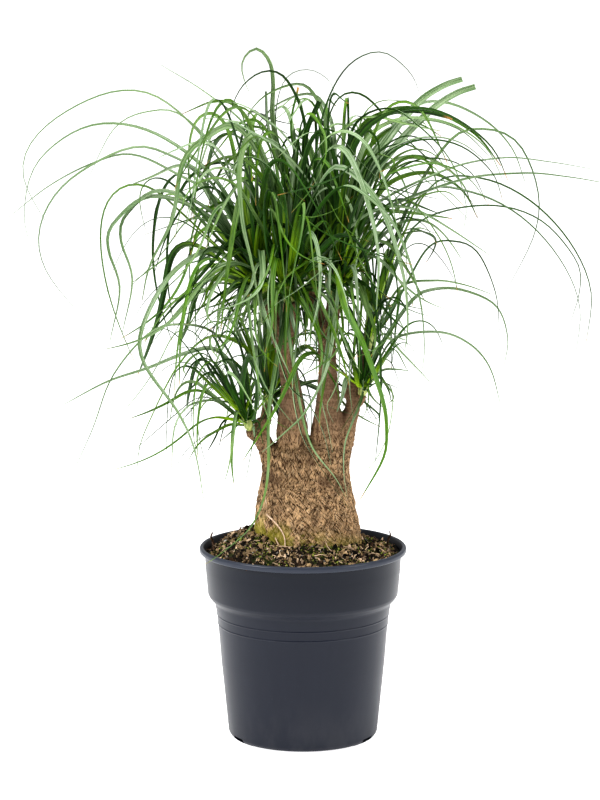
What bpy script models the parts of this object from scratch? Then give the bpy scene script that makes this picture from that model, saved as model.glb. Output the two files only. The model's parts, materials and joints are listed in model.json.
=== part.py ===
"""A ponytail palm in its nursery pot: pot, soil, trunk and eight leaf rosettes.

Metres, +Z up. The origin is the centre of the pot's underside, and +Y points to the back.
"""

import math
import random
from collections import namedtuple

import bmesh
import bpy
from mathutils import Vector
from mathutils.bvhtree import BVHTree

UP = Vector((0, 0, 1))
GAP = 0.0003  # between pieces that touch

# The pot
POT_HEIGHT = 0.224
RIM_RADIUS = 0.120
BASE_RADIUS = 0.080
FLOOR = 0.003
POT_SIDES = 36
POT_RINGS = (0.1335, 0.1445)  # heights of the fine raised rings
RING_RELIEF = 0.0006
SLOT_ANGLES = (-90 - 60, -90 + 60, 90)  # degrees about Z
SLOT_WIDTH = 0.021
SLOT_HEIGHT = 0.005
FOOT_RISE = 0.0018  # how far the wall's edge is lifted between two feet
FOOT_SPAN = 96  # degrees of lifted edge between two feet

# The soil
SOIL_EDGE = 0.2160
SOIL_RINGS = (0.102, 0.086, 0.070)

# The trunk
CAUDEX_CENTRE = 0.003
CAUDEX_DEPTH = 0.88  # front to back, as a share of its width
SHOULDER_FLATNESS = 0.26  # how much of that share it loses towards its top
CAUDEX_SIDES = 22
STEM_SIDES = 10
SPUR_SIDES = 8

# The leaves
PATH_STEPS = 32
ARCH_SEGMENTS = 8
BLADE_SEGMENTS = 6
GOLDEN_ANGLE = math.radians(137.5)
CLEARANCE = 0.0008  # round a blade, to all that it could touch
TRIES = 80
BUNDLE_STEPS = 1  # a rosette's own blades may touch each other this far from the heart
LOWEST_TIP = 0.275  # how low a leaf may hang
LOWEST = (0.30, 0.46)  # where most leaves end, at the lowest
CROWN_FOOT = 0.085  # how far right the crown's lower edge stays level
RIGHT_CLIMB = 2.0  # how steeply it climbs beyond
HIGHEST = 0.745  # the top of the crown, which only the arches pass
FLATTEST_TIP = math.radians(100)  # from the vertical
SPREAD = (0.25, 0.30)  # how far a grown leaf may reach sideways and forward; the arches reach further
CLEAR_FRONT = (0.055, 0.345)  # half the width and the top of the place that no leaf hangs in front of
MM = 0.001


# ---------------------------------------------------------------- helpers


def start_empty():
    for thing in list(bpy.data.objects):
        bpy.data.objects.remove(thing)


def material(name, colour, roughness, metallic=0.0):
    made = bpy.data.materials.new(name)
    made.use_nodes = True
    shader = made.node_tree.nodes["Principled BSDF"]
    shader.inputs["Base Color"].default_value = (*colour, 1)
    shader.inputs["Roughness"].default_value = roughness
    shader.inputs["Metallic"].default_value = metallic
    return made


def place(name, shape, finish=None, collection=None):
    """The bmesh made into an object, and freed."""
    mesh = bpy.data.meshes.new(name)
    shape.to_mesh(mesh)
    shape.free()
    thing = bpy.data.objects.new(name, mesh)
    (collection or bpy.context.scene.collection).objects.link(thing)
    if finish:
        mesh.materials.append(finish)
    mesh.shade_smooth()
    mesh.set_sharp_from_angle(angle=math.radians(35))
    return thing


def lathe(profile, sides, reach=None, centre=0.0):
    """A closed shape turned about Z. The profile runs from the axis, up the outside, to the axis.

    reach(angle, radius, height) may change the radius, and centre moves the axis along X.
    """
    shape = bmesh.new()
    rings = []
    for radius, height in profile:
        if radius == 0:
            rings.append([shape.verts.new((centre, 0, height))])
            continue
        ring = []
        for side in range(sides):
            angle = math.tau * side / sides
            out = reach(angle, radius, height) if reach else radius
            spot = (centre + out * math.cos(angle), out * math.sin(angle), height)
            ring.append(shape.verts.new(spot))
        rings.append(ring)
    for low, high in zip(rings, rings[1:]):
        for side in range(sides):
            after = (side + 1) % sides
            corners = (
                low[side % len(low)],
                low[after % len(low)],
                high[after % len(high)],
                high[side % len(high)],
            )
            shape.faces.new(list(dict.fromkeys(corners)))
    return shape


def carried_frames(points):
    """For each point, its direction and a side vector that turns as little as possible."""
    directions = []
    for index in range(len(points)):
        before = points[max(index - 1, 0)]
        after = points[min(index + 1, len(points) - 1)]
        directions.append((after - before).normalized())
    side = directions[0].cross(UP)
    if side.length < 1e-4:
        side = Vector((0, 1, 0))
    side.normalize()
    frames = [(directions[0], side)]
    for old, new in zip(directions, directions[1:]):
        side = old.rotation_difference(new) @ side
        side = (side - new * side.dot(new)).normalized()
        frames.append((new, side))
    return frames


def tube(stations, sides):
    """A closed tube with flat ends. Each station is (x, y, z, radius)."""
    points = [Vector(station[:3]) for station in stations]
    shape = bmesh.new()
    rings = []
    for point, station, (along, side) in zip(points, stations, carried_frames(points)):
        across = along.cross(side)
        ring = []
        for index in range(sides):
            angle = math.tau * index / sides
            out = side * math.cos(angle) + across * math.sin(angle)
            ring.append(shape.verts.new(point + out * station[3]))
        rings.append(ring)
    for low, high in zip(rings, rings[1:]):
        for index in range(sides):
            after = (index + 1) % sides
            shape.faces.new((low[index], low[after], high[after], high[index]))
    shape.faces.new(rings[0][::-1])
    shape.faces.new(rings[-1])
    return shape


def apply_boolean(thing, operation, solver, collection):
    """Joins or cuts with every object of the collection, which is then removed."""
    modifier = thing.modifiers.new(operation.title(), "BOOLEAN")
    modifier.operation = operation
    modifier.solver = solver
    modifier.operand_type = "COLLECTION"
    modifier.collection = collection
    view = bpy.context.evaluated_depsgraph_get()
    whole = bpy.data.meshes.new_from_object(thing.evaluated_get(view))
    thing.modifiers.clear()
    thing.data = whole
    whole.name = thing.name
    for piece in list(collection.objects):
        bpy.data.objects.remove(piece)
    bpy.data.collections.remove(collection)


def group(name):
    made = bpy.data.collections.new(name)
    bpy.context.scene.collection.children.link(made)
    return made


def tree_of(shape):
    """The bmesh as a tree for overlap tests, with the bmesh freed."""
    tree = BVHTree.FromBMesh(shape)
    shape.free()
    return tree


def eased(value):
    """0 to 1, starting and ending softly."""
    value = min(max(value, 0.0), 1.0)
    return value * value * (3 - 2 * value)


# ---------------------------------------------------------------- pot


def raised_ring(height, radius, slope):
    """Three profile points of a fine ring on the wall."""
    half = 0.001
    return [
        (radius - slope * half, height - half),
        (radius + RING_RELIEF, height),
        (radius + slope * half, height + half),
    ]


def pot_outside():
    low_ring, high_ring = POT_RINGS
    return [
        (0, 0),
        (BASE_RADIUS, 0),
        (0.0845, 0.0012),
        (0.0869, 0.005),
        (0.0902, 0.0385),
        (0.0952, 0.087),
        (0.0974, 0.116),
        *raised_ring(low_ring, 0.0990, 0.12),
        *raised_ring(high_ring, 0.1001, 0.12),
        (0.1026, 0.1572),
        (0.1035, 0.1592),
        (0.1088, 0.1650),
        (0.1105, 0.1685),
        (0.1130, 0.1975),
        (0.1140, 0.2165),
        (0.1188, 0.2168),
        (RIM_RADIUS, 0.2182),
        (RIM_RADIUS, 0.2218),
        (0.1188, 0.2236),
        (0.1172, POT_HEIGHT),
    ]


# The wall's inner face, from its top to its foot, which the soil follows.
POT_INSIDE = (
    (0.1153, 0.2232),
    (0.1121, 0.2120),
    (0.1088, 0.1690),
    (0.1012, 0.1594),
    (0.0982, 0.1440),
    (0.0956, 0.1160),
    (0.0934, 0.0870),
    (0.0862, 0.0144),
    (0.0820, FLOOR),
)


def foot_recess(middle):
    """A cutter that lifts the foot of the wall over an arc about the given angle."""
    steps = 16
    shape = bmesh.new()
    rings = []
    for step in range(steps + 1):
        angle = math.radians(middle + FOOT_SPAN * (step / steps - 0.5))
        out = Vector((math.cos(angle), math.sin(angle), 0))
        corners = []
        for radius, height in ((0.0772, -0.002), (0.1, -0.002), (0.1, FOOT_RISE), (0.0772, FOOT_RISE)):
            corners.append(shape.verts.new(out * radius + UP * height))
        rings.append(corners)
    for first, second in zip(rings, rings[1:]):
        for index in range(4):
            after = (index + 1) % 4
            shape.faces.new((first[index], first[after], second[after], second[index]))
    shape.faces.new(rings[0][::-1])
    shape.faces.new(rings[-1])
    bmesh.ops.recalc_face_normals(shape, faces=shape.faces)
    return shape


def drain_slot(angle):
    """A cutter for a slot through the foot of the wall."""
    shape = bmesh.new()
    bmesh.ops.create_cube(shape, size=1)
    turn = math.radians(angle)
    out = Vector((math.cos(turn), math.sin(turn), 0))
    across = Vector((-out.y, out.x, 0))
    for corner in shape.verts:
        spot = corner.co.copy()
        radius = 0.0795 + (spot.x + 0.5) * 0.02
        height = 0.0012 + (spot.z + 0.5) * SLOT_HEIGHT
        corner.co = out * radius + across * spot.y * SLOT_WIDTH + UP * height
    return shape


def make_pot(plastic):
    profile = [*pot_outside(), *POT_INSIDE, (0, FLOOR)]
    pot = place("nursery_pot", lathe(profile, POT_SIDES), plastic)
    cutters = group("pot cutters")
    for index, angle in enumerate(SLOT_ANGLES):
        place(f"slot {index}", drain_slot(angle), None, cutters)
        place(f"recess {index}", foot_recess(angle + 60), None, cutters)
    apply_boolean(pot, "DIFFERENCE", "EXACT", cutters)
    pot.data.set_sharp_from_angle(angle=math.radians(35))
    return pot


# ---------------------------------------------------------------- trunk


def caudex_reach(angle, radius, height):
    """The swollen foot isn't round: soft lobes, and roots that spread just above the soil."""
    lobes = 0.014 * math.sin(3 * angle + 0.8) + 0.010 * math.sin(5 * angle + 2.1 + 26 * height)
    spread = math.exp(-(((height - 0.216) / 0.016) ** 2))
    roots = 0.030 * spread * (math.cos(angle) + 0.5 * math.cos(4 * angle + 1))
    depth = CAUDEX_DEPTH - SHOULDER_FLATNESS * eased((height - 0.275) / 0.060)
    oval = math.hypot(math.cos(angle), math.sin(angle) / depth)
    return radius * (1 + lobes + roots) / oval


def caudex(margin=0.0):
    """The swollen foot of the trunk, or with a margin the hole that it stands in."""
    profile = (
        (0, 0.166 - margin),
        (0.034, 0.168 - margin),
        (0.050, 0.175 - margin),
        (0.0600, 0.188),
        (0.0635, 0.203),
        (0.0648, 0.218),
        (0.0638, 0.231),
        (0.0610, 0.246),
        (0.0586, 0.268),
        (0.0543, 0.288),
        (0.0515, 0.307),
        (0.0505, 0.321),
        (0.0485, 0.331),
        (0.0430, 0.338),
        (0.0340, 0.343),
        (0.0200, 0.348),
        (0, 0.350),
    )

    def reach(angle, radius, height):
        return caudex_reach(angle, radius, height) + margin

    return lathe(profile, CAUDEX_SIDES, reach, CAUDEX_CENTRE)


# Each stem: (x, y, z, radius) from inside the trunk to its flat end.
STEMS = {
    "left stub": (
        (-0.0280, 0.000, 0.300, 0.0150),
        (-0.0405, -0.002, 0.335, 0.0115),
        (-0.0490, -0.004, 0.3555, 0.0090),
        (-0.0465, -0.004, 0.3735, 0.0066),
    ),
    "centre stem": (
        (-0.006, 0.000, 0.300, 0.0220),
        (-0.0115, -0.002, 0.345, 0.0195),
        (-0.0130, -0.004, 0.3815, 0.0152),
        (-0.0142, -0.006, 0.410, 0.0114),
        (-0.0180, -0.007, 0.4345, 0.0096),
        (-0.0222, -0.008, 0.453, 0.0090),
    ),
    "right centre stem": (
        (0.0210, 0.000, 0.300, 0.0190),
        (0.0265, -0.001, 0.350, 0.0185),
        (0.0288, -0.002, 0.3815, 0.0152),
        (0.0288, -0.003, 0.4045, 0.0130),
        (0.0280, -0.003, 0.430, 0.0110),
        (0.0275, -0.002, 0.463, 0.0102),
        (0.0315, 0.000, 0.482, 0.0095),
    ),
    "right stem": (
        (0.0340, 0.002, 0.300, 0.0120),
        (0.0450, 0.003, 0.338, 0.0125),
        (0.0515, 0.003, 0.3665, 0.0106),
        (0.0572, 0.003, 0.390, 0.0086),
        (0.0560, 0.003, 0.4185, 0.0062),
    ),
}

SPURS = {
    "right knuckle": ((0.0550, 0.002, 0.393, 0.0055), (0.0465, 0.001, 0.4065, 0.0045)),
}

# The spurs that bear a rosette, each ending in its flat seat.
SEATS = {
    "rosette_low_left": (
        (-0.0485, -0.005, 0.351, 0.0066),
        (-0.0570, -0.0105, 0.3545, 0.0060),
        (-0.0600, -0.0135, 0.3620, 0.0062),
    ),
    "rosette_left_back": (
        (-0.0475, 0.000, 0.355, 0.0068),
        (-0.0430, 0.014, 0.369, 0.0064),
        (-0.0405, 0.021, 0.385, 0.0066),
    ),
    "rosette_upper_left": (
        (-0.0218, -0.008, 0.448, 0.0086),
        (-0.0290, -0.007, 0.471, 0.0082),
        (-0.0355, -0.006, 0.492, 0.0080),
        (-0.0440, -0.005, 0.514, 0.0090),
    ),
    "rosette_centre": (
        (-0.0210, -0.009, 0.446, 0.0084),
        (-0.0160, -0.013, 0.470, 0.0080),
        (-0.0138, -0.015, 0.487, 0.0080),
        (-0.0158, -0.017, 0.509, 0.0090),
    ),
    "rosette_upper_right": (
        (0.0302, -0.001, 0.474, 0.0090),
        (0.0345, 0.001, 0.498, 0.0088),
        (0.0358, 0.001, 0.512, 0.0090),
    ),
    "rosette_low_right": (
        (0.0560, 0.002, 0.387, 0.0062),
        (0.0642, -0.002, 0.3925, 0.0060),
        (0.0668, -0.0040, 0.4005, 0.0064),
    ),
    "rosette_right_back": (
        (0.0555, 0.004, 0.392, 0.0068),
        (0.0640, 0.016, 0.414, 0.0064),
        (0.0725, 0.026, 0.438, 0.0068),
        (0.0745, 0.028, 0.449, 0.0080),
    ),
    "rosette_back": (
        (0.0275, -0.001, 0.448, 0.0088),
        (0.0215, 0.013, 0.474, 0.0078),
        (0.0145, 0.026, 0.502, 0.0076),
        (0.0125, 0.031, 0.524, 0.0088),
    ),
}


def trunk_pieces():
    """The stems and spurs as closed tubes, by name."""
    pieces = {}
    for name, stations in STEMS.items():
        pieces[name] = tube(stations, STEM_SIDES)
    for name, stations in (SPURS | SEATS).items():
        pieces[name] = tube(stations, SPUR_SIDES)
    return pieces


def make_trunk(bark):
    trunk = place("trunk", caudex(), bark)
    stems = group("stems")
    for name, shape in trunk_pieces().items():
        place(name, shape, bark, stems)
    apply_boolean(trunk, "UNION", "MANIFOLD", stems)
    return trunk


# ---------------------------------------------------------------- soil


def soil_height(x, y):
    """Crumbly, heaped against the trunk, and more so at its left."""
    out = math.hypot(x - CAUDEX_CENTRE, y)
    heap = 0.017 * (1 - eased((out - 0.050) / 0.060))
    left = 0.007 * eased((-x - 0.01) / 0.05) * (1 - eased((out - 0.080) / 0.034))
    waves = 0.0012 * math.sin(95 * x + 1.3) * math.cos(110 * y - 0.4)
    return SOIL_EDGE + heap + left + waves


def make_soil(earth):
    inner = GAP + 0.0001
    wall = [(radius - inner, height) for radius, height in POT_INSIDE[1:]]
    wall[0] = (0.1118, SOIL_EDGE)
    foot_radius, _ = wall[-1]
    profile = [(0, FLOOR + GAP), (foot_radius, FLOOR + GAP), *wall[-2::-1]]
    tops = [(radius, SOIL_EDGE) for radius in SOIL_RINGS]
    shape = lathe([*profile, *tops, (0, SOIL_EDGE)], POT_SIDES)
    for corner in shape.verts:
        if corner.co.z > SOIL_EDGE - GAP:
            corner.co.z = soil_height(corner.co.x, corner.co.y)
    soil = place("potting_soil", shape, earth)
    holes = group("soil cutters")
    place("trunk hole", caudex(GAP + 0.0002), None, holes)
    apply_boolean(soil, "DIFFERENCE", "EXACT", holes)
    return soil


# ---------------------------------------------------------------- leaves

Rosette = namedtuple("Rosette", "name count length width heart")

ROSETTES = (
    Rosette("rosette_low_left", 25, 0.26, 0.0068, 0.0058),
    Rosette("rosette_left_back", 30, 0.29, 0.0072, 0.0058),
    Rosette("rosette_upper_left", 40, 0.40, 0.0090, 0.0082),
    Rosette("rosette_centre", 38, 0.42, 0.0095, 0.0082),
    Rosette("rosette_upper_right", 42, 0.42, 0.0095, 0.0082),
    Rosette("rosette_low_right", 20, 0.26, 0.0072, 0.0058),
    Rosette("rosette_right_back", 24, 0.33, 0.0085, 0.0070),
    Rosette("rosette_back", 46, 0.42, 0.0090, 0.0080),
)

# The leaves that shape the outline, as the places that each one passes after its heart.
Arch = namedtuple("Arch", "width kept places")  # kept is the share left of a leaf cut short

ARCHES = {
    "rosette_upper_left": (
        Arch(5.0, 1, ((-85, -10, 653), (-151, -20, 733), (-214, -25, 746), (-289, -30, 707),
                      (-314, -30, 654), (-278, -20, 579))),
        Arch(5.5, 1, ((-85, 0, 635), (-153, 0, 699), (-224, 0, 712), (-287, 5, 671),
                      (-305, 10, 608), (-292, 15, 552))),
        Arch(7.0, 1, ((-96, -30, 639), (-148, -50, 680), (-192, -60, 688), (-258, -70, 652),
                      (-289, -70, 604), (-285, -60, 552), (-239, -50, 490))),
        Arch(3.5, 1, ((-93, 20, 617), (-152, 30, 656), (-201, 35, 676), (-246, 40, 665),
                      (-296, 45, 639), (-347, 50, 600))),
        Arch(7.5, 1, ((-99, -40, 627), (-137, -60, 667), (-167, -70, 672), (-193, -80, 629),
                      (-222, -80, 589), (-243, -80, 534), (-252, -75, 475))),
        Arch(6.0, 1, ((-99, -20, 608), (-160, -35, 637), (-198, -45, 610), (-204, -45, 582),
                      (-192, -40, 537), (-204, -35, 477))),
        Arch(6.0, 1, ((-85, -20, 574), (-133, -40, 557), (-164, -50, 504), (-167, -50, 459),
                      (-128, -45, 399), (-110, -42, 355), (-100, -40, 296))),
        Arch(7.5, 1, ((-81, 15, 589), (-111, 25, 622), (-127, 30, 587), (-129, 32, 533),
                      (-131, 30, 467))),
        Arch(9.0, 1, ((-57, -40, 610), (-67, -60, 633), (-74, -72, 604), (-83, -76, 546),
                      (-90, -76, 484))),
        Arch(7.0, 1, ((-51, -20, 535), (-63, -30, 561), (-77, -38, 582), (-96, -44, 592),
                      (-114, -48, 587), (-128, -50, 567), (-134, -50, 540))),
        Arch(6.0, 1, ((-47, 0, 538), (-55, 4, 572), (-69, 6, 606), (-87, 8, 620), (-105, 10, 614),
                      (-119, 12, 591), (-128, 14, 560))),
    ),
    "rosette_centre": (
        Arch(9.0, 1, ((-39, -30, 648), (-72, -60, 708), (-106, -75, 698), (-132, -85, 671),
                      (-144, -90, 609), (-169, -90, 558), (-178, -88, 519))),
        Arch(10.0, 1, ((-35, -40, 649), (-55, -75, 701), (-67, -90, 681), (-70, -96, 650),
                       (-66, -98, 603), (-56, -98, 559), (-45, -95, 492))),
        Arch(10.0, 1, ((-4, -35, 626), (21, -60, 686), (38, -70, 695), (55, -82, 667),
                       (70, -90, 619), (77, -92, 576), (75, -92, 520))),
        Arch(9.5, 1, ((2, -50, 610), (27, -80, 660), (48, -90, 663), (84, -100, 625),
                      (109, -108, 552), (115, -108, 495), (112, -106, 467))),
        Arch(7.5, 1, ((-17, -50, 577), (-13, -78, 560), (-17, -92, 497), (-23, -94, 420),
                      (-46, -92, 363), (-56, -90, 317), (-64, -88, 277))),
        Arch(8.5, 1, ((-25, -45, 582), (-39, -88, 519), (-19, -96, 431), (6, -94, 403),
                      (22, -90, 372), (31, -86, 334))),
        Arch(6.0, 1, ((-11, -40, 570), (-7, -75, 484), (-12, -80, 423), (-5, -80, 378),
                      (8, -78, 347), (53, -76, 280))),
        Arch(4.0, 1, ((-42, 0, 652), (-62, 10, 711), (-109, 20, 754), (-160, 25, 785))),
        Arch(10.0, 1, ((-25, -15, 555), (-11, -20, 589), (-5, -24, 626), (-9, -26, 657), (-22, -26, 680),
                      (-40, -26, 693), (-58, -26, 691), (-72, -26, 673), (-81, -26, 648))),
        Arch(9.0, 1, ((-26, -10, 559), (-22, -14, 597), (-19, -18, 631), (-26, -20, 659), (-40, -22, 682),
                      (-56, -24, 686), (-72, -26, 677), (-85, -28, 657), (-94, -30, 626))),
        Arch(8.0, 1, ((-31, -5, 567), (-32, -8, 602), (-40, -10, 636), (-55, -12, 661), (-72, -14, 672),
                      (-90, -16, 672), (-109, -18, 661), (-120, -20, 637), (-127, -20, 603))),
        Arch(7.0, 1, ((-35, -20, 574), (-47, -30, 609), (-60, -38, 638), (-76, -44, 656), (-94, -48, 663),
                      (-112, -50, 654), (-123, -50, 630), (-130, -50, 599))),
        Arch(6.0, 1, ((-3, -45, 558), (3, -70, 591), (12, -88, 589), (18, -96, 562), (18, -98, 529),
                      (13, -96, 500), (1, -92, 468))),
        Arch(5.0, 1, ((-3, -20, 555), (3, -50, 585), (12, -66, 601), (20, -76, 604), (26, -84, 590),
                      (28, -88, 573), (24, -88, 555), (19, -86, 537))),
    ),
    "rosette_back": (
        Arch(8.5, 1, ((-15, 40, 621), (-34, 38, 708), (-34, 30, 753), (-38, 22, 779),
                      (-53, 16, 794), (-68, 10, 781), (-68, 6, 764), (-61, 2, 745))),
        Arch(8.0, 1, ((3, 20, 622), (4, 5, 708), (-15, -5, 759), (-39, -10, 770),
                      (-64, -15, 755), (-78, -18, 728), (-80, -20, 708))),
        Arch(5.0, 1, ((-15, 35, 633), (-22, 45, 707), (-7, 50, 755), (19, 50, 768),
                      (45, 50, 755), (52, 50, 729), (49, 48, 708))),
        Arch(6.0, 1, ((66, 50, 655), (123, 60, 723), (164, 65, 732), (211, 65, 711),
                      (242, 62, 679), (257, 60, 641))),
        Arch(3.5, 1, ((-78, 30, 656), (-135, 40, 715), (-172, 45, 723), (-216, 50, 704),
                      (-250, 55, 642))),
        Arch(10.0, 0.5, ((-30, 24, 645), (-48, 28, 702), (-55, 30, 746))),
        Arch(9.0, 0.5, ((-19, 44, 644), (-39, 50, 701), (-42, 52, 745))),
        Arch(8.0, 0.5, ((-3, 30, 645), (-13, 30, 704), (-5, 28, 750))),
        Arch(8.5, 0.5, ((12, 16, 634), (15, 14, 680), (14, 12, 714))),
        Arch(9.0, 1, ((10, 20, 554), (13, 18, 594), (10, 15, 634), (1, 12, 663), (-13, 10, 680),
                      (-29, 8, 685), (-43, 6, 671), (-52, 4, 649))),
        Arch(8.0, 1, ((15, 30, 553), (22, 30, 593), (29, 28, 634), (36, 26, 666), (46, 24, 680),
                      (58, 22, 670), (66, 20, 645))),
        Arch(8.0, 1, ((18, 40, 550), (32, 44, 592), (49, 46, 627), (69, 48, 655), (90, 50, 664),
                      (109, 50, 651), (121, 50, 623))),
        Arch(8.0, 1, ((8, 32, 550), (-3, 36, 587), (-18, 40, 621), (-36, 42, 646), (-60, 42, 658),
                      (-81, 40, 649), (-94, 38, 624))),
    ),
    "rosette_upper_right": (
        Arch(7.5, 1, ((15, 5, 635), (21, 5, 712), (47, 0, 770), (86, -5, 790),
                      (120, -8, 767), (133, -10, 737))),
        Arch(7.0, 1, ((31, 15, 623), (28, 20, 702), (11, 20, 744), (-9, 15, 754),
                      (-43, 10, 741), (-65, 8, 718))),
        Arch(6.0, 1, ((17, -15, 636), (-15, -30, 691), (-48, -35, 721), (-79, -38, 735),
                      (-110, -40, 733))),
        Arch(10.0, 0.6, ((63, 20, 634), (95, 30, 688), (131, 35, 732), (159, 38, 751),
                         (182, 40, 759))),
        Arch(8.0, 1, ((44, -15, 636), (58, -35, 711), (96, -50, 733), (129, -60, 714),
                      (164, -70, 676), (181, -75, 629), (178, -75, 596))),
        Arch(9.0, 1, ((47, 30, 633), (64, 34, 700), (96, 36, 722), (127, 36, 726),
                      (162, 34, 718), (199, 30, 695), (226, 26, 661))),
        Arch(8.0, 1, ((51, 12, 623), (73, 16, 691), (105, 20, 713), (141, 22, 715),
                      (177, 22, 705), (210, 20, 680), (230, 16, 641))),
        Arch(9.0, 1, ((54, -12, 602), (79, -16, 670), (111, -20, 696), (145, -22, 703),
                      (179, -22, 695), (211, -20, 670))),
        Arch(8.0, 1, ((56, -30, 592), (87, -38, 655), (121, -44, 678), (155, -46, 681),
                      (187, -46, 665), (209, -44, 636))),
        Arch(8.0, 1, ((59, 20, 577), (92, 26, 634), (127, 30, 656), (162, 32, 656),
                      (192, 32, 636), (208, 30, 606))),
        Arch(7.0, 1, ((66, -20, 608), (153, -40, 658), (219, -50, 674), (273, -55, 670),
                      (326, -60, 661))),
        Arch(9.5, 1, ((39, -30, 556), (48, -60, 525), (70, -80, 490), (91, -92, 430),
                      (95, -95, 395), (91, -95, 366), (66, -92, 320))),
        Arch(6.5, 1, ((41, -40, 548), (34, -75, 484), (25, -80, 438), (3, -82, 394),
                      (-15, -84, 375), (-46, -86, 348))),
        Arch(8.0, 1, ((45, -10, 545), (54, -10, 585), (62, -8, 625), (75, -4, 664), (94, 0, 686),
                      (117, 4, 696), (140, 8, 689), (156, 10, 669))),
        Arch(8.0, 1, ((42, -20, 540), (49, -24, 580), (56, -26, 620), (67, -28, 657), (85, -30, 680),
                      (108, -32, 689), (131, -34, 680), (147, -34, 655))),
        Arch(7.0, 1, ((40, 5, 538), (43, 8, 578), (46, 10, 618), (57, 12, 657), (75, 14, 689),
                      (101, 16, 710), (130, 18, 714), (156, 20, 700))),
        Arch(8.0, 1, ((48, -20, 535), (60, -30, 564), (78, -38, 593), (104, -42, 616), (132, -44, 631),
                      (160, -44, 636), (180, -44, 620))),
    ),
    "rosette_right_back": (
        Arch(8.0, 1, ((114, 30, 599), (166, 30, 688), (207, 30, 703), (246, 28, 687),
                      (269, 25, 634), (265, 20, 582), (227, 15, 506))),
        Arch(7.0, 1, ((100, 10, 537), (131, 0, 599), (205, -10, 619), (266, -20, 604),
                      (308, -25, 558), (313, -25, 524), (303, -25, 487))),
        Arch(7.5, 1, ((102, 20, 554), (147, 20, 640), (203, 20, 648), (260, 20, 622),
                      (306, 15, 574), (330, 10, 518), (324, 5, 453))),
        Arch(8.0, 1, ((105, 0, 510), (138, -15, 573), (168, -20, 582), (194, -25, 569),
                      (214, -28, 524), (219, -28, 479))),
    ),
    "rosette_low_right": (
        Arch(5.0, 1, ((85, -15, 477), (109, -30, 527), (147, -40, 536), (180, -45, 532),
                      (213, -50, 521))),
        Arch(5.0, 1, ((90, 0, 458), (125, 5, 509), (150, 10, 521), (183, 10, 520),
                      (221, 10, 502), (235, 8, 465), (230, 5, 428))),
        Arch(4.5, 1, ((82, -20, 434), (104, -35, 470), (152, -50, 479), (187, -55, 466),
                      (210, -58, 439), (223, -60, 394))),
        Arch(4.5, 1, ((79, 10, 439), (98, 20, 463), (117, 25, 445), (154, 30, 406))),
        Arch(6.0, 1, ((66, -14, 417), (64, -20, 452), (58, -28, 490), (48, -38, 510), (35, -46, 508),
                      (28, -50, 490))),
        Arch(6.0, 1, ((69, -10, 419), (72, -14, 458), (78, -20, 494), (90, -28, 513), (106, -34, 516),
                      (118, -38, 498))),
        Arch(5.5, 1, ((63, -18, 415), (55, -30, 449), (45, -42, 473), (33, -52, 479), (21, -58, 464))),
    ),
    "rosette_low_left": (
        Arch(6.5, 1, ((-72, -25, 427), (-101, -35, 477), (-148, -45, 487), (-180, -50, 472),
                      (-216, -55, 427), (-238, -58, 369), (-268, -60, 303))),
        Arch(5.5, 1, ((-74, -10, 421), (-99, -12, 454), (-132, -15, 451), (-177, -20, 434),
                      (-223, -25, 419), (-273, -30, 393))),
        Arch(4.0, 1, ((-68, -25, 389), (-85, -35, 397), (-111, -45, 400), (-132, -52, 393),
                      (-146, -55, 366), (-149, -55, 302))),
        Arch(5.5, 1, ((-61, -20, 388), (-63, -26, 416), (-68, -34, 450), (-76, -42, 473), (-88, -48, 479),
                      (-100, -50, 461))),
        Arch(5.5, 1, ((-57, -18, 392), (-56, -22, 430), (-55, -28, 463), (-50, -36, 482), (-40, -44, 485),
                      (-31, -48, 467))),
        Arch(5.0, 1, ((-64, -22, 386), (-74, -34, 417), (-84, -46, 444), (-97, -56, 457),
                      (-111, -62, 449), (-121, -64, 422))),
        Arch(5.0, 1, ((-60, -10, 389), (-64, -4, 427), (-75, 0, 461), (-93, 4, 482), (-112, 8, 479),
                      (-126, 8, 456))),
    ),
    "rosette_left_back": (
        Arch(5.5, 1, ((-56, 30, 442), (-102, 40, 464), (-143, 45, 432), (-179, 45, 364),
                      (-193, 42, 323), (-195, 40, 263))),
    ),
}

Blade = namedtuple("Blade", "path width twist roll kept segments")


def heart_frame(name):
    """Where a rosette sits on its spur, and which way it points."""
    *_, before, last = SEATS[name]
    end = Vector(last[:3])
    axis = (end - Vector(before[:3])).normalized()
    return end + axis * GAP, axis


def heart(rosette):
    """The tight sheath that the leaves grow from, as a slim bulb on its seat."""
    seat, axis = heart_frame(rosette.name)
    radius = rosette.heart
    height = radius * 4.6
    shape = lathe(
        (
            (0, 0),
            (radius * 0.70, 0),
            (radius, height * 0.20),
            (radius * 0.92, height * 0.55),
            (radius * 0.55, height * 0.85),
            (0, height),
        ),
        SPUR_SIDES,
    )
    turn = UP.rotation_difference(axis)
    for corner in shape.verts:
        corner.co = seat + turn @ corner.co
    return shape


def grown_path(root, start, length, droop, onset, finish, sway, curl):
    """The centre line of a leaf that rises along start and bends over under its own weight.

    droop is its angle from the vertical once it has bent over, and the bend lies between
    onset and finish, as shares of its length. sway turns its heading on the way, and curl
    turns its tip inward, or outward where it is negative. The heading wavers a little.
    """
    rise = max(start.angle(UP), 0.02)
    heading = math.atan2(start.y, start.x)
    pull = math.log(math.tan(droop / 2) / math.tan(rise / 2))
    points = [root.copy()]
    for step in range(PATH_STEPS):
        share = (step + 0.5) / PATH_STEPS
        bend = eased((share - onset) / (finish - onset))
        angle = 2 * math.atan(math.tan(rise / 2) * math.exp(pull * bend))
        angle += curl * eased((share - 0.45) / 0.55)
        turned = heading + sway * (share ** 1.6 + 0.16 * math.sin(7 * share + 4 * sway))
        flat = math.sin(angle)
        direction = Vector((flat * math.cos(turned), flat * math.sin(turned), math.cos(angle)))
        points.append(points[-1] + direction * (length / PATH_STEPS))
    return points


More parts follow.
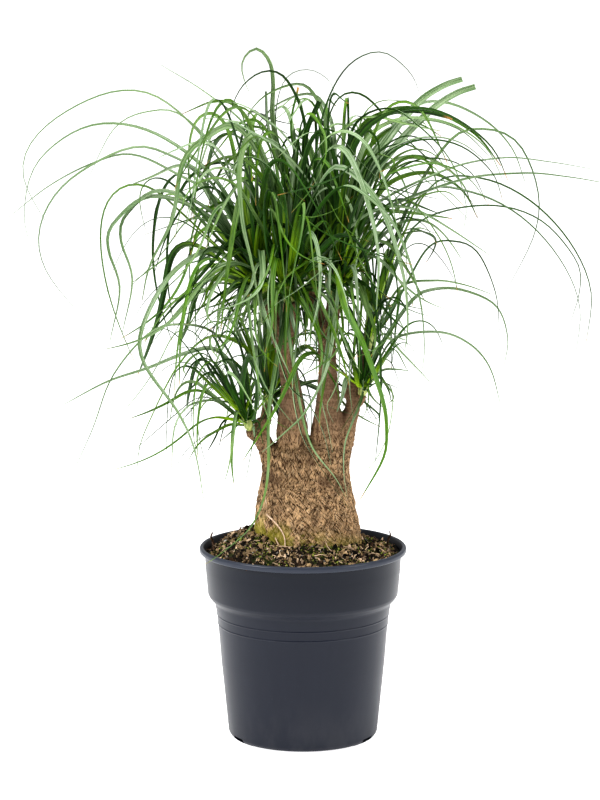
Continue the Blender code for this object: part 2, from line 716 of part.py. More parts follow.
def arched_path(root, places):
    """The centre line of a leaf from its root through the given places, in even steps."""
    knots = [root, *places]
    knots = [2 * knots[0] - knots[1], *knots, 2 * knots[-1] - knots[-2]]
    line = []
    for before, start, end, after in zip(knots, knots[1:], knots[2:], knots[3:]):
        for step in range(12):
            part = step / 12
            curve = (end - before) * part
            curve += (2 * before - 5 * start + 4 * end - after) * part ** 2
            curve += (3 * start - before - 3 * end + after) * part ** 3
            line.append(start + curve / 2)
    line.append(places[-1])
    reached = [0.0]
    for before, after in zip(line, line[1:]):
        reached.append(reached[-1] + (after - before).length)
    path = []
    piece = 0
    for step in range(PATH_STEPS + 1):
        goal = reached[-1] * step / PATH_STEPS
        while piece < len(line) - 2 and reached[piece + 1] < goal:
            piece += 1
        part = (goal - reached[piece]) / (reached[piece + 1] - reached[piece])
        path.append(line[piece].lerp(line[piece + 1], part))
    return path


def arch(rosette, index, attempt):
    """One of the leaves that shape the outline, moved aside a little with each attempt."""
    draw = random.Random(f"{rosette.name} arch {index} {attempt}")
    shape = ARCHES[rosette.name][index]
    seat, axis = heart_frame(rosette.name)
    root = seat + axis * rosette.heart * draw.uniform(1.6, 3.0)
    aside = Vector((draw.uniform(-1, 1), draw.uniform(-3, 3), draw.uniform(-1, 0.2)))
    places = []
    for order, place_mm in enumerate(shape.places, 1):
        places.append((Vector(place_mm) + aside * min(order, 3) * min(attempt ** 0.7, 8)) * MM)
    path = arched_path(root, places)
    showing = math.copysign(draw.uniform(0.5, 1.1), -path[-1].x)
    return Blade(path, shape.width * MM, draw.uniform(-0.8, 0.8), showing, shape.kept, ARCH_SEGMENTS)


def hem(x, lowest):
    """How low a leaf may hang here: the crown's edge climbs towards its right."""
    return lowest + min(RIGHT_CLIMB * max(x - CROWN_FOOT, 0), 0.20)


def within(path, lowest, reach):
    """Whether the leaf stays above the crown's hem, and inside that share of its spread and height."""
    tip = path[-1]
    side, front = SPREAD
    tall = max(point.z for point in path) > HIGHEST
    low = tip.z < lowest or any(point.z < hem(point.x, lowest) for point in path if point.x > CROWN_FOOT)
    return not low and not tall and math.hypot(tip.x / side, tip.y / front) <= reach


def rightward(seat, around):
    """0 to 1: how far a leaf of the right-hand rosettes heads to the right, where leaves stand up."""
    return max(0.0, math.cos(around)) * eased((seat.x + 0.01) / 0.03)


def leaf(rosette, index, attempt):
    """One leaf of a rosette: its place in the spiral fixes its age, and its own draw the rest."""
    draw = random.Random(f"{rosette.name} {index} {attempt}")
    seat, axis = heart_frame(rosette.name)
    youth = (index + 0.5) / rosette.count
    around = index * GOLDEN_ANGLE + draw.uniform(-0.25, 0.25) * (1 + attempt / 6)
    right = rightward(seat, around)
    lean = math.radians(64 - 52 * youth ** 0.50 + draw.uniform(-12, 12)) * (1 - 0.45 * right)
    out = Vector((math.cos(around), math.sin(around), 0))
    out = (out - axis * out.dot(axis)).normalized()
    start = axis * math.cos(lean) + out * math.sin(lean)
    root = seat + axis * rosette.heart * (0.9 + 2.6 * youth)
    grown = 0.74 + 0.30 * math.sin(math.pi * youth ** 0.8) - 0.34 * youth ** 3
    length = rosette.length * grown * draw.uniform(0.68, 1.10)
    droop = math.radians(172 - 60 * draw.random() ** 1.3 - 12 * youth ** 2 - 24 * right)
    onset = draw.uniform(0.06, 0.28) + 0.18 * youth ** 0.8 + 0.14 * right
    finish = onset + draw.uniform(0.22, 0.46)
    sway = draw.uniform(-1.6, 1.6)
    curl = max(draw.uniform(-1.1, 0.8), FLATTEST_TIP - droop)
    lowest = min(draw.uniform(*LOWEST), seat.z - draw.uniform(0.005, 0.06))
    path = grown_path(root, start, length, droop, onset, finish, sway, curl)
    reach = draw.uniform(0.66, 1)
    while not within(path, lowest, reach):
        length *= 0.94
        path = grown_path(root, start, length, droop, onset, finish, sway, curl)
    width = rosette.width * draw.uniform(0.52, 1.05)
    twist = draw.uniform(-1.6, 1.6)
    return Blade(path, width, twist, draw.uniform(-0.7, 0.7), 1, BLADE_SEGMENTS)


def blade_width(share):
    """A leaf's width along its length, as a share of its widest: a slow taper to a thread."""
    return (0.40 + 0.60 * eased(share / 0.14)) * (1 - share ** 1.5) ** 0.9 + 0.10


def stations(path, segments):
    """Which points of the path carry a cross-section: more where it bends."""
    reached = [0.0]
    for index in range(1, len(path) - 1):
        before = path[index] - path[index - 1]
        after = path[index + 1] - path[index]
        reached.append(reached[-1] + 1 / len(path) + 0.55 * before.angle(after))
    reached.append(reached[-1] + 1 / len(path))
    chosen = [0]
    for part in range(1, segments):
        goal = reached[-1] * part / segments
        nearest = min(range(len(path)), key=lambda index: abs(reached[index] - goal))
        chosen.append(max(nearest, chosen[-1] + 1))
    chosen.append(len(path) - 1)
    return chosen


def blade_shape(blade, first=0, margin=0.0):
    """A closed keeled blade with a three-cornered section, from the path's point first on."""
    frames = carried_frames(blade.path)
    last = len(blade.path) - 1
    shape = bmesh.new()
    rings = []
    crossed = [index for index in stations(blade.path, blade.segments) if index > first]
    for index in (first, *crossed):
        share = index / last
        along, side = frames[index]
        over = side.cross(along)
        turn = blade.roll + blade.twist * share
        across = side * math.cos(turn) + over * math.sin(turn)
        over = across.cross(along)
        half = blade.width * blade_width(share * blade.kept) / 2 + margin
        keel = max(0.24 * half, 0.0007) + 2 * margin
        centre = blade.path[index] + over * (margin + 0.0002)
        corners = (centre - across * half, centre - over * keel, centre + across * half)
        rings.append([shape.verts.new(corner) for corner in corners])
    for low, high in zip(rings, rings[1:]):
        for here, after in ((0, 1), (1, 2), (0, 2)):
            shape.faces.new((low[here], low[after], high[after]))
            shape.faces.new((low[here], high[after], high[here]))
    shape.faces.new(rings[0])
    shape.faces.new(rings[-1])
    bmesh.ops.recalc_face_normals(shape, faces=shape.faces)
    return shape


class Canopy:
    """Every leaf that has found a clear place."""

    def __init__(self, solids):
        self.solids = solids
        self.full = {rosette.name: [tree_of(heart(rosette))] for rosette in ROSETTES}
        self.free = {rosette.name: [] for rosette in ROSETTES}

    def takes(self, name, blade):
        """Adds the blade to its rosette, unless it would meet another piece or hang too low."""
        half, top = CLEAR_FRONT
        for point in blade.path:
            hides_trunk = point.y < 0 and abs(point.x) < half and point.z < top
            if hides_trunk or point.z < LOWEST_TIP:
                return False
        whole = tree_of(blade_shape(blade, 0, CLEARANCE))
        others = list(self.solids)
        for owner, trees in self.full.items():
            if owner != name:
                others += trees
        if any(whole.overlap(other) for other in others):
            return False
        free = tree_of(blade_shape(blade, BUNDLE_STEPS, CLEARANCE))
        if any(free.overlap(other) for other in self.free[name]):
            return False
        self.full[name].append(whole)
        self.free[name].append(free)
        return True


def grow(solids):
    """The leaves of every rosette, by its name."""
    canopy = Canopy(solids)
    leaves = {rosette.name: [] for rosette in ROSETTES}
    wanted = []
    for rosette in reversed(ROSETTES):
        wanted += [(arch, rosette, index) for index in range(len(ARCHES[rosette.name]))]
    for rosette in ROSETTES:
        wanted += [(leaf, rosette, index) for index in range(rosette.count)]
    for make, rosette, index in wanted:
        for attempt in range(TRIES):
            blade = make(rosette, index, attempt)
            if canopy.takes(rosette.name, blade):
                leaves[rosette.name].append(blade)
                break
    return leaves


def make_rosette(rosette, blades, green):
    body = place(rosette.name, heart(rosette), green)
    pieces = group(f"{rosette.name} blades")
    for index, blade in enumerate(blades):
        place(f"{rosette.name} blade {index}", blade_shape(blade), green, pieces)
    apply_boolean(body, "UNION", "MANIFOLD", pieces)
    return body


# ---------------------------------------------------------------- the whole plant


def main():
    start_empty()
    plastic = material("slate plastic", (0.045, 0.052, 0.068), 0.42)
    bark = material("bark", (0.30, 0.19, 0.10), 0.85)
    earth = material("soil", (0.055, 0.035, 0.020), 0.95)
    green = material("leaf green", (0.10, 0.24, 0.05), 0.45)
    made = [make_pot(plastic), make_trunk(bark), make_soil(earth)]
    view = bpy.context.evaluated_depsgraph_get()
    solids = [BVHTree.FromObject(thing, view) for thing in made]
    leaves = grow(solids)
    for rosette in ROSETTES:
        make_rosette(rosette, leaves[rosette.name], green)


main()
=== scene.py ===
"""The looks of the potted ponytail palm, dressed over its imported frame.

Metres, +Z up. The origin is the centre of the pot's underside, and +Y points to the back.
"""

import json
import math
import random
from collections import namedtuple

import bmesh
import bpy
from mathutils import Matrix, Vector, noise
from mathutils.bvhtree import BVHTree

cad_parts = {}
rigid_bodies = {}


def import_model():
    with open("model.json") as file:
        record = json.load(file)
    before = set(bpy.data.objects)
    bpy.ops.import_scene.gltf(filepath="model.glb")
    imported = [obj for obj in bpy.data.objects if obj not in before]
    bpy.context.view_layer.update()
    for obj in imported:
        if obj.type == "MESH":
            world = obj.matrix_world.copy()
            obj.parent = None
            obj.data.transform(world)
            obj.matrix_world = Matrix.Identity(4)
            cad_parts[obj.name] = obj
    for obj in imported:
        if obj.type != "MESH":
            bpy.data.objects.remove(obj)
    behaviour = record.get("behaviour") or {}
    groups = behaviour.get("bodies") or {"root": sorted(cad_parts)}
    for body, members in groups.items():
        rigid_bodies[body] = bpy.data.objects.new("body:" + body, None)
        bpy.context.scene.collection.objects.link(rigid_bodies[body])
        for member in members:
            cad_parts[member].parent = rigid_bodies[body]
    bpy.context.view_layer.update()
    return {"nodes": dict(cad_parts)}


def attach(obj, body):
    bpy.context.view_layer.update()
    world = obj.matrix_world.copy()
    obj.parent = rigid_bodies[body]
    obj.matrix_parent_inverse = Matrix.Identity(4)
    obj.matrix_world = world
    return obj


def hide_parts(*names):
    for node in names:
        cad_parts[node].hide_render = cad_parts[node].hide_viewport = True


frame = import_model()

UP = Vector((0, 0, 1))
MM = 0.001

# The pot
POT_HEIGHT = 0.224
RIM_RADIUS = 0.120
BASE_RADIUS = 0.080
FLOOR = 0.003
POT_RINGS = (0.1335, 0.1445)  # heights of the fine raised rings
RING_RELIEF = 0.0006
RING_HALF = 0.001  # half a ring's height
RING_SLOPE = 0.12  # how the wall widens upwards at the rings
POT_CORNER = 0.0011
SLOT_ANGLES = (-90 - 60, -90 + 60, 90)  # degrees about Z
SLOT_TO_RECESS = 60  # from each slot to the recess halfway to the next
SLOT_WIDTH = 0.021
SLOT_HEIGHT = 0.005
FOOT_RISE = 0.0018
FOOT_SPAN = 96  # degrees of the rim's circle that a recess takes
POT_SIDES = 144

# The trunk
CAUDEX_CENTRE = 0.003
CAUDEX_DEPTH = 0.88
SHOULDER_FLATNESS = 0.26
BARK_VOXEL = 0.00125
BARK_SEED = 5  # noise_vector draws from it, and without a seed it would differ in every run

# The soil
SOIL_EDGE = 0.2160  # height at the wall
SOIL_RADIUS = 0.1119
SOIL_STEP = 0.0016
SOIL_GAP = 0.0004
SOIL_HOLE_MARGIN = -0.0012  # the hole is this much tighter than the trunk, so that no gap shows
FACING_UP = 0.45  # upright share of a face's direction from which litter lies on it
LITTER_REACH = 0.1085

# The leaves
PATH_STEPS = 32
ARCH_SEGMENTS = 8
BLADE_SEGMENTS = 6
GOLDEN_ANGLE = math.radians(137.5)
CLEARANCE = 0.0008
TRIES = 80  # how often each leaf looks for a clear place
BUNDLE_STEPS = 1  # steps from the heart within which leaves of one rosette may cross
LOWEST_TIP = 0.275  # no leaf hangs below this height
LOWEST = (0.30, 0.46)  # the range of each leaf's own lower limit
BELOW_SEAT = (0.005, 0.06)  # a leaf's lower limit is at least this far below its seat
CROWN_FOOT = 0.085  # the crown's lower edge climbs from this x to the right
RIGHT_CLIMB = 2.0  # its slope
HEM_RISE = 0.20  # and the most that it climbs
HIGHEST = 0.745
SHORTER = 0.94  # what is kept of a leaf's length each time that it reaches too far
FLATTEST_TIP = math.radians(100)
SPREAD = (0.25, 0.30)  # the crown's reach to the side and to the front
CLEAR_FRONT = (0.055, 0.345)  # half the width and the top of the space kept clear before the trunk
SEAT_GAP = 0.0003
SPUR_SIDES = 8
RIGHT_LEAN = 0.45  # share of its lean that a leaf heading right loses
RIGHT_DROOP = 24  # degrees that it droops less
RIGHT_ONSET = 0.14  # share of its length by which it bends later
TALL = 0.35  # leaf length above which a rosette counts as tall
FILL_TRIES = 12
FILL_STEPS = 5  # as BUNDLE_STEPS, for the filling leaves
FILL_CLEARANCE = 0.0003
FILL_LOWEST = (0.34, 0.50)
TIP_SHIFT = 0.016  # an outline leaf with no tip this near its place counts as crowded out


# ---------------------------------------------------------------- node trees


class Value:
    """A node's output. Arithmetic on it adds Math nodes."""

    def __init__(self, nodes, socket):
        self.nodes = nodes
        self.socket = socket

    def maths(self, operation, *others):
        sockets = dict(enumerate((self, *others)))
        return self.nodes.add("ShaderNodeMath", {"operation": operation}, sockets)

    def __add__(self, other):
        return self.maths("ADD", other)

    __radd__ = __add__

    def __sub__(self, other):
        return self.maths("SUBTRACT", other)

    def __rsub__(self, other):
        return self.nodes.add("ShaderNodeMath", {"operation": "SUBTRACT"}, {0: other, 1: self})

    def __mul__(self, other):
        return self.maths("MULTIPLY", other)

    __rmul__ = __mul__

    def band(self, low, high):
        """0 below low, 1 above high, and soft between them."""
        settings = {"interpolation_type": "SMOOTHSTEP"}
        sockets = {"Value": self, "From Min": low, "From Max": high}
        return self.nodes.add("ShaderNodeMapRange", settings, sockets)


class Nodes:
    """A node tree under construction."""

    def __init__(self, tree):
        self.tree = tree

    def add(self, kind, settings=None, sockets=None, output=0):
        """Any node: its settings first, then the values or links of its sockets."""
        node = self.tree.nodes.new(kind)
        for name, value in (settings or {}).items():
            if name == "stops":
                ramp = node.color_ramp.elements
                while len(ramp) < len(value):
                    ramp.new(0.5)
                for stop, (place, colour) in zip(ramp, value):
                    stop.position = place
                    stop.color = (*colour, 1)
            else:
                setattr(node, name, value)
        for key, value in (sockets or {}).items():
            self.connect(node, key, value)
        shown = [socket for socket in node.outputs if socket.enabled]
        if isinstance(output, str):
            return Value(self, next(socket for socket in shown if socket.name == output))
        return Value(self, shown[output])

    def connect(self, node, key, value):
        if isinstance(key, int):
            socket = node.inputs[key]
        else:
            named = [each for each in node.inputs if each.name == key or each.identifier == key]
            socket = next(each for each in named if each.enabled)
        if isinstance(value, Value):
            self.tree.links.new(value.socket, socket)
        elif socket.type == "RGBA" and len(value) == 3:
            socket.default_value = (*value, 1)
        else:
            socket.default_value = value

    def mix(self, first, second, amount):
        """A colour between two colours."""
        sockets = {"Factor_Float": amount, "A_Color": first, "B_Color": second}
        return self.add("ShaderNodeMix", {"data_type": "RGBA"}, sockets)

    def vector(self, operation, *inputs):
        return self.add("ShaderNodeVectorMath", {"operation": operation}, dict(enumerate(inputs)))

    def scaled(self, vector, amount):
        sockets = {0: vector, "Scale": amount}
        return self.add("ShaderNodeVectorMath", {"operation": "SCALE"}, sockets)

    def from_axis(self, spot):
        """How far the place is from the Z axis."""
        flat = self.vector("MULTIPLY", spot, (1, 1, 0))
        return self.add("ShaderNodeVectorMath", {"operation": "LENGTH"}, {0: flat}, "Value")

    def part(self, vector, axis):
        """The vector's X, Y or Z alone."""
        return self.add("ShaderNodeSeparateXYZ", None, {"Vector": vector}, axis)

    def combine(self, x, y, z):
        return self.add("ShaderNodeCombineXYZ", None, {"X": x, "Y": y, "Z": z})


class Finish(Nodes):
    """A Principled material with procedural colour, roughness and relief."""

    def __init__(self, name):
        self.material = bpy.data.materials.new(name)
        self.material.use_nodes = True
        super().__init__(self.material.node_tree)
        self.shader = self.tree.nodes["Principled BSDF"]

    def place(self):
        return self.add("ShaderNodeTexCoord", None, None, "Object")

    def stretched(self, size):
        """Object coordinates scaled along each axis."""
        return self.vector("MULTIPLY", self.place(), size)

    def noise(self, vector, scale, detail, roughness=0.55):
        sockets = {"Vector": vector, "Scale": scale, "Detail": detail, "Roughness": roughness}
        return self.add("ShaderNodeTexNoise", None, sockets)

    def cells(self, vector, scale):
        return self.add("ShaderNodeTexVoronoi", None, {"Vector": vector, "Scale": scale})

    def attribute(self, name):
        return self.add("ShaderNodeAttribute", {"attribute_name": name}, None, "Fac")

    def finish(self, colour, roughness, height=None, depth=0.0, **constants):
        """Sets what the surface shows. depth is the relief's height in metres."""
        self.connect(self.shader, "Base Color", colour)
        self.connect(self.shader, "Roughness", roughness)
        for name, value in constants.items():
            self.connect(self.shader, name.replace("_", " "), value)
        if height:
            sockets = {"Height": height, "Distance": depth, "Strength": 1.0}
            self.connect(self.shader, "Normal", self.add("ShaderNodeBump", None, sockets))
        return self.material


class Shaping(Nodes):
    """A geometry tree with named inputs, which makes a plain mesh piece from a base object."""

    def __init__(self, name, inputs):
        tree = bpy.data.node_groups.new(name, "GeometryNodeTree")
        tree.interface.new_socket("Geometry", in_out="OUTPUT", socket_type="NodeSocketGeometry")
        tree.interface.new_socket("Base", in_out="INPUT", socket_type="NodeSocketGeometry")
        for label, (kind, default) in inputs.items():
            socket = tree.interface.new_socket(label, in_out="INPUT", socket_type=f"NodeSocket{kind}")
            if default is not None:
                socket.default_value = default
        super().__init__(tree)
        entry = tree.nodes.new("NodeGroupInput")
        self.given = {socket.name: Value(self, socket) for socket in entry.outputs if socket.name}
        self.end = tree.nodes.new("NodeGroupOutput")

    def chance(self, kind, low, high, seed):
        """A random number or vector between low and high, for each thing that is strewn."""
        names = {"FLOAT": ("Min_001", "Max_001"), "FLOAT_VECTOR": ("Min", "Max")}[kind]
        sockets = {names[0]: low, names[1]: high, "Seed": self.given["Seed"] + seed}
        return self.add("FunctionNodeRandomValue", {"data_type": kind}, sockets)

    def strew(self, points, thing, least_turn, most_turn, scale):
        """Puts the thing on every point, turned at random, each with a tone of its own."""
        angles = self.chance("FLOAT_VECTOR", least_turn, most_turn, 1)
        turn = self.add("FunctionNodeEulerToRotation", None, {"Euler": angles})
        sockets = {"Points": points, "Instance": thing, "Rotation": turn, "Scale": scale}
        spread = self.add("GeometryNodeInstanceOnPoints", None, sockets)
        settings = {"data_type": "FLOAT", "domain": "INSTANCE"}
        sockets = {"Geometry": spread, "Name": "tone", "Value": self.chance("FLOAT", 0.0, 1.0, 4)}
        toned = self.add("GeometryNodeStoreNamedAttribute", settings, sockets)
        self.close(self.add("GeometryNodeRealizeInstances", None, {"Geometry": toned}))

    def close(self, shape):
        """Gives the shape its finish and ends the tree with it."""
        sockets = {"Geometry": shape, "Material": self.given["Finish"]}
        self.connect(self.end, "Geometry", self.add("GeometryNodeSetMaterial", None, sockets))

    def piece(self, base, name, **inputs):
        """The piece that the tree makes from the base object, which is removed."""
        modifier = base.modifiers.new(name, "NODES")
        modifier.node_group = self.tree
        for item in self.tree.interface.items_tree:
            label = item.name.replace(" ", "_").lower()
            if item.in_out == "INPUT" and label in inputs:
                modifier[item.identifier] = inputs[label]
        view = bpy.context.evaluated_depsgraph_get()
        mesh = bpy.data.meshes.new_from_object(base.evaluated_get(view), depsgraph=view)
        bpy.data.objects.remove(base)
        mesh.name = name
        return show(name, mesh)


# ---------------------------------------------------------------- pieces


def show(name, mesh, finish=None, smooth=35):
    """Adds the mesh, or the bmesh, which is freed, to the scene as a piece."""
    if isinstance(mesh, bmesh.types.BMesh):
        shape = mesh
        mesh = bpy.data.meshes.new(name)
        shape.to_mesh(mesh)
        shape.free()
    if finish:
        mesh.materials.clear()
        mesh.materials.append(finish)
    if smooth:
        mesh.shade_smooth()
        mesh.set_sharp_from_angle(angle=math.radians(smooth))
    thing = bpy.data.objects.new(name, mesh)
    bpy.context.scene.collection.objects.link(thing)
    return thing


def settle(piece, slot, *nodes):
    """The piece belongs to the plant and may stand for CAD nodes, which are hidden. slot is not used."""
    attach(piece, "root")
    if nodes:
        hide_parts(*nodes)


def baked(thing):
    """The object's mesh with its modifiers applied, which are then removed."""
    view = bpy.context.evaluated_depsgraph_get()
    whole = bpy.data.meshes.new_from_object(thing.evaluated_get(view), depsgraph=view)
    thing.modifiers.clear()
    thing.data = whole


def surface_of(mesh):
    """The mesh as a tree for tests of overlap and nearness."""
    corners = [corner.co for corner in mesh.vertices]
    return BVHTree.FromPolygons(corners, [face.vertices for face in mesh.polygons])


def tree_of(shape):
    """The bmesh as a tree for overlap tests, with the bmesh freed."""
    tree = BVHTree.FromBMesh(shape)
    shape.free()
    return tree


def eased(value):
    """0 to 1, starting and ending softly."""
    value = min(max(value, 0.0), 1.0)
    return value * value * (3 - 2 * value)


def lathe(profile, sides, reach=None, centre=0.0):
    """A closed shape turned about Z. The profile runs from the axis, up the outside, to the axis."""
    shape = bmesh.new()
    rings = []
    for radius, height in profile:
        if radius == 0:
            rings.append([shape.verts.new((centre, 0, height))])
            continue
        ring = []
        for side in range(sides):
            angle = math.tau * side / sides
            out = reach(angle, radius, height) if reach else radius
            spot = (centre + out * math.cos(angle), out * math.sin(angle), height)
            ring.append(shape.verts.new(spot))
        rings.append(ring)
    for low, high in zip(rings, rings[1:]):
        for side in range(sides):
            after = (side + 1) % sides
            corners = (
                low[side % len(low)],
                low[after % len(low)],
                high[after % len(high)],
                high[side % len(high)],
            )
            shape.faces.new(list(dict.fromkeys(corners)))
    return shape


def carried_frames(points):
    """For each point, its direction and a side vector that turns as little as possible."""
    directions = []
    for index in range(len(points)):
        before = points[max(index - 1, 0)]
        after = points[min(index + 1, len(points) - 1)]
        directions.append((after - before).normalized())
    side = directions[0].cross(UP)
    if side.length < 1e-4:
        side = Vector((0, 1, 0))
    side.normalize()
    frames = [(directions[0], side)]
    for old, new in zip(directions, directions[1:]):
        side = old.rotation_difference(new) @ side
        side = (side - new * side.dot(new)).normalized()
        frames.append((new, side))
    return frames


def loft(shape, rings):
    """Joins rings of as many corners each into a closed body with flat ends."""
    for low, high in zip(rings, rings[1:]):
        for index in range(len(low)):
            after = (index + 1) % len(low)
            shape.faces.new((low[index], low[after], high[after], high[index]))
    shape.faces.new(rings[0][::-1])
    shape.faces.new(rings[-1])


def tube(stations, sides):
    """A closed tube with flat ends. Each station is (x, y, z, radius)."""
    points = [Vector(station[:3]) for station in stations]
    shape = bmesh.new()
    rings = []
    for point, station, (along, side) in zip(points, stations, carried_frames(points)):
        across = along.cross(side)
        ring = []
        for index in range(sides):
            angle = math.tau * index / sides
            out = side * math.cos(angle) + across * math.sin(angle)
            ring.append(shape.verts.new(point + out * station[3]))
        rings.append(ring)
    loft(shape, rings)
    return shape


def smooth_line(knots, steps):
    """Catmull-Rom points through knots that are tuples of any length, steps to each stretch."""
    knots = [Vector(knot) for knot in knots]
    knots = [2 * knots[0] - knots[1], *knots, 2 * knots[-1] - knots[-2]]
    line = []
    for before, start, end, after in zip(knots, knots[1:], knots[2:], knots[3:]):
        for step in range(steps):
            part = step / steps
            curve = (end - before) * part
            curve += (2 * before - 5 * start + 4 * end - after) * part ** 2
            curve += (3 * start - before - 3 * end + after) * part ** 3
            line.append(start + curve / 2)
    line.append(knots[-2])
    return line


def add_tube(whole, knots, sides):
    """Adds to the bmesh a closed tube along the smooth line through the knots."""
    mesh = bpy.data.meshes.new("tube")
    shape = tube(smooth_line(knots, 5), sides)
    shape.to_mesh(mesh)
    shape.free()
    whole.from_mesh(mesh)
    bpy.data.meshes.remove(mesh)


# ---------------------------------------------------------------- stage


CAMERA_PLACE = (-0.0035, -2.75, 0.81)
CAMERA_LENS = 108.9
LOOKS_DOWN = 8.6  # degrees
LIT_POINT = Vector((0, 0, 0.45))
SOFTBOXES = (  # name, place, size and power
    ("left softbox", (-1.9, -1.1, 1.9), 0.7, 54),
    ("right softbox", (2.0, -1.0, 1.5), 0.9, 26),
    ("top softbox", (0.1, -0.2, 2.6), 0.7, 26),
)


def set_stage():
    """A white studio: the camera, three softboxes, bright surroundings and a paper floor."""
    camera = bpy.data.objects.new("camera", bpy.data.cameras.new("camera"))
    bpy.context.scene.collection.objects.link(camera)
    camera.location = CAMERA_PLACE
    camera.rotation_euler = (math.radians(90 - LOOKS_DOWN), 0, 0)
    camera.data.lens = CAMERA_LENS
    camera.data.sensor_width = 36
    bpy.context.scene.camera = camera
    bpy.context.scene.view_settings.view_transform = "Standard"
    bpy.context.scene.view_settings.look = "Medium High Contrast"

    world = bpy.data.worlds.new("white studio")
    bpy.context.scene.world = world
    world.use_nodes = True
    sky = Nodes(world.node_tree)
    facing = sky.add("ShaderNodeTexCoord", None, None, "Generated")
    behind = sky.part(facing, "Y").band(-0.80, 0.30)
    above = sky.part(facing, "Z").band(0.10, 0.95)
    backdrop = sky.add("ShaderNodeLightPath", None, None, "Is Camera Ray")
    glow = 0.04 + behind * 0.56 + above * 0.12
    background = world.node_tree.nodes["Background"]
    sky.connect(background, "Color", (1, 1, 1))
    sky.connect(background, "Strength", glow * (1 - backdrop) + backdrop)

    for name, place, size, power in SOFTBOXES:
        lamp = bpy.data.lights.new(name, "AREA")
        lamp.shape = "DISK"
        lamp.size = size
        lamp.energy = power
        softbox = bpy.data.objects.new(name, lamp)
        softbox.location = place
        softbox.rotation_euler = (LIT_POINT - Vector(place)).to_track_quat("-Z", "Y").to_euler()
        bpy.context.scene.collection.objects.link(softbox)

    ground = bmesh.new()
    bmesh.ops.create_circle(ground, cap_ends=True, segments=64, radius=40)
    paper = Finish("white paper floor")
    glowing = {"Emission_Color": (1, 1, 1), "Emission_Strength": 0.75, "Specular_IOR_Level": 0.0}
    floor = show("floor", ground, paper.finish((0.9, 0.9, 0.9), 0.9, **glowing), smooth=0)


# ---------------------------------------------------------------- pot


def raised_ring(height, radius):
    """Three profile points of a fine ring on the wall."""
    return [
        (radius - RING_SLOPE * RING_HALF, height - RING_HALF),
        (radius + RING_RELIEF, height),
        (radius + RING_SLOPE * RING_HALF, height + RING_HALF),
    ]


def pot_outside():
    """The outer face from the foot, over the two rings and the collar, to the lip."""
    low_ring, high_ring = POT_RINGS
    return [
        (BASE_RADIUS, 0),
        (0.0845, 0.0012),
        (0.0869, 0.005),
        (0.0902, 0.0385),
        (0.0952, 0.087),
        (0.0974, 0.116),
        *raised_ring(low_ring, 0.0990),
        *raised_ring(high_ring, 0.1001),
        (0.1026, 0.1572),
        (0.1035, 0.1592),
        (0.1088, 0.1650),
        (0.1105, 0.1685),
        (0.1130, 0.1975),
        (0.1140, 0.2165),
        (0.1188, 0.2168),
        (RIM_RADIUS, 0.2182),
        (RIM_RADIUS, 0.2218),
        (0.1188, 0.2236),
        (0.1172, POT_HEIGHT),
    ]


# The wall's inner face, from its top to its foot, which the soil follows.
POT_INSIDE = (
    (0.1153, 0.2232),
    (0.1121, 0.2120),
    (0.1088, 0.1690),
    (0.1012, 0.1594),
    (0.0982, 0.1440),
    (0.0956, 0.1160),
    (0.0934, 0.0870),
    (0.0862, 0.0144),
    (0.0820, FLOOR),
)


def rounded(points, radius):
    """The line through the points with each corner eased by a short curve."""
    steps = 4
    points = [Vector(point) for point in points]
    line = [points[0]]
    for before, corner, after in zip(points, points[1:], points[2:]):
        into = before - corner
        out = after - corner
        start = corner + into.normalized() * min(radius, into.length * 0.42)
        end = corner + out.normalized() * min(radius, out.length * 0.42)
        for step in range(steps + 1):
            part = step / steps
            line.append(start.lerp(corner, part).lerp(corner.lerp(end, part), part))
    line.append(points[-1])
    return [tuple(point) for point in line]


def foot_recess(middle):
    """A cutter that lifts the foot of the wall over an arc about the given angle."""
    steps = 48
    shape = bmesh.new()
    rings = []
    for step in range(steps + 1):
        angle = math.radians(middle + FOOT_SPAN * (step / steps - 0.5))
        rise = FOOT_RISE * eased(min(step, steps - step) / 3)
        out = Vector((math.cos(angle), math.sin(angle), 0))
        corners = []
        for radius, height in ((0.0772, -0.002), (0.1, -0.002), (0.1, rise), (0.0772, rise)):
            corners.append(shape.verts.new(out * radius + UP * height))
        rings.append(corners)
    loft(shape, rings)
    bmesh.ops.recalc_face_normals(shape, faces=shape.faces)
    return shape


def drain_slot(angle):
    """A cutter for a slot through the foot of the wall."""
    shape = bmesh.new()
    bmesh.ops.create_cube(shape, size=1)
    turn = math.radians(angle)
    out = Vector((math.cos(turn), math.sin(turn), 0))
    across = Vector((-out.y, out.x, 0))
    for corner in shape.verts:
        spot = corner.co.copy()
        radius = 0.0795 + (spot.x + 0.5) * 0.02
        height = 0.0012 + (spot.z + 0.5) * SLOT_HEIGHT
        corner.co = out * radius + across * spot.y * SLOT_WIDTH + UP * height
    return shape


def cut(piece, shapes, solver="EXACT"):
    """Cuts every shape out of the piece."""
    cutters = bpy.data.collections.new("cutters")
    bpy.context.scene.collection.children.link(cutters)
    for shape in shapes:
        cutter = show("cutter", shape, smooth=0)
        bpy.context.scene.collection.objects.unlink(cutter)
        cutters.objects.link(cutter)
    boolean = piece.modifiers.new("cut", "BOOLEAN")
    boolean.operation = "DIFFERENCE"
    boolean.solver = solver
    boolean.operand_type = "COLLECTION"
    boolean.collection = cutters
    baked(piece)
    for cutter in list(cutters.objects):
        bpy.data.objects.remove(cutter)
    bpy.data.collections.remove(cutters)


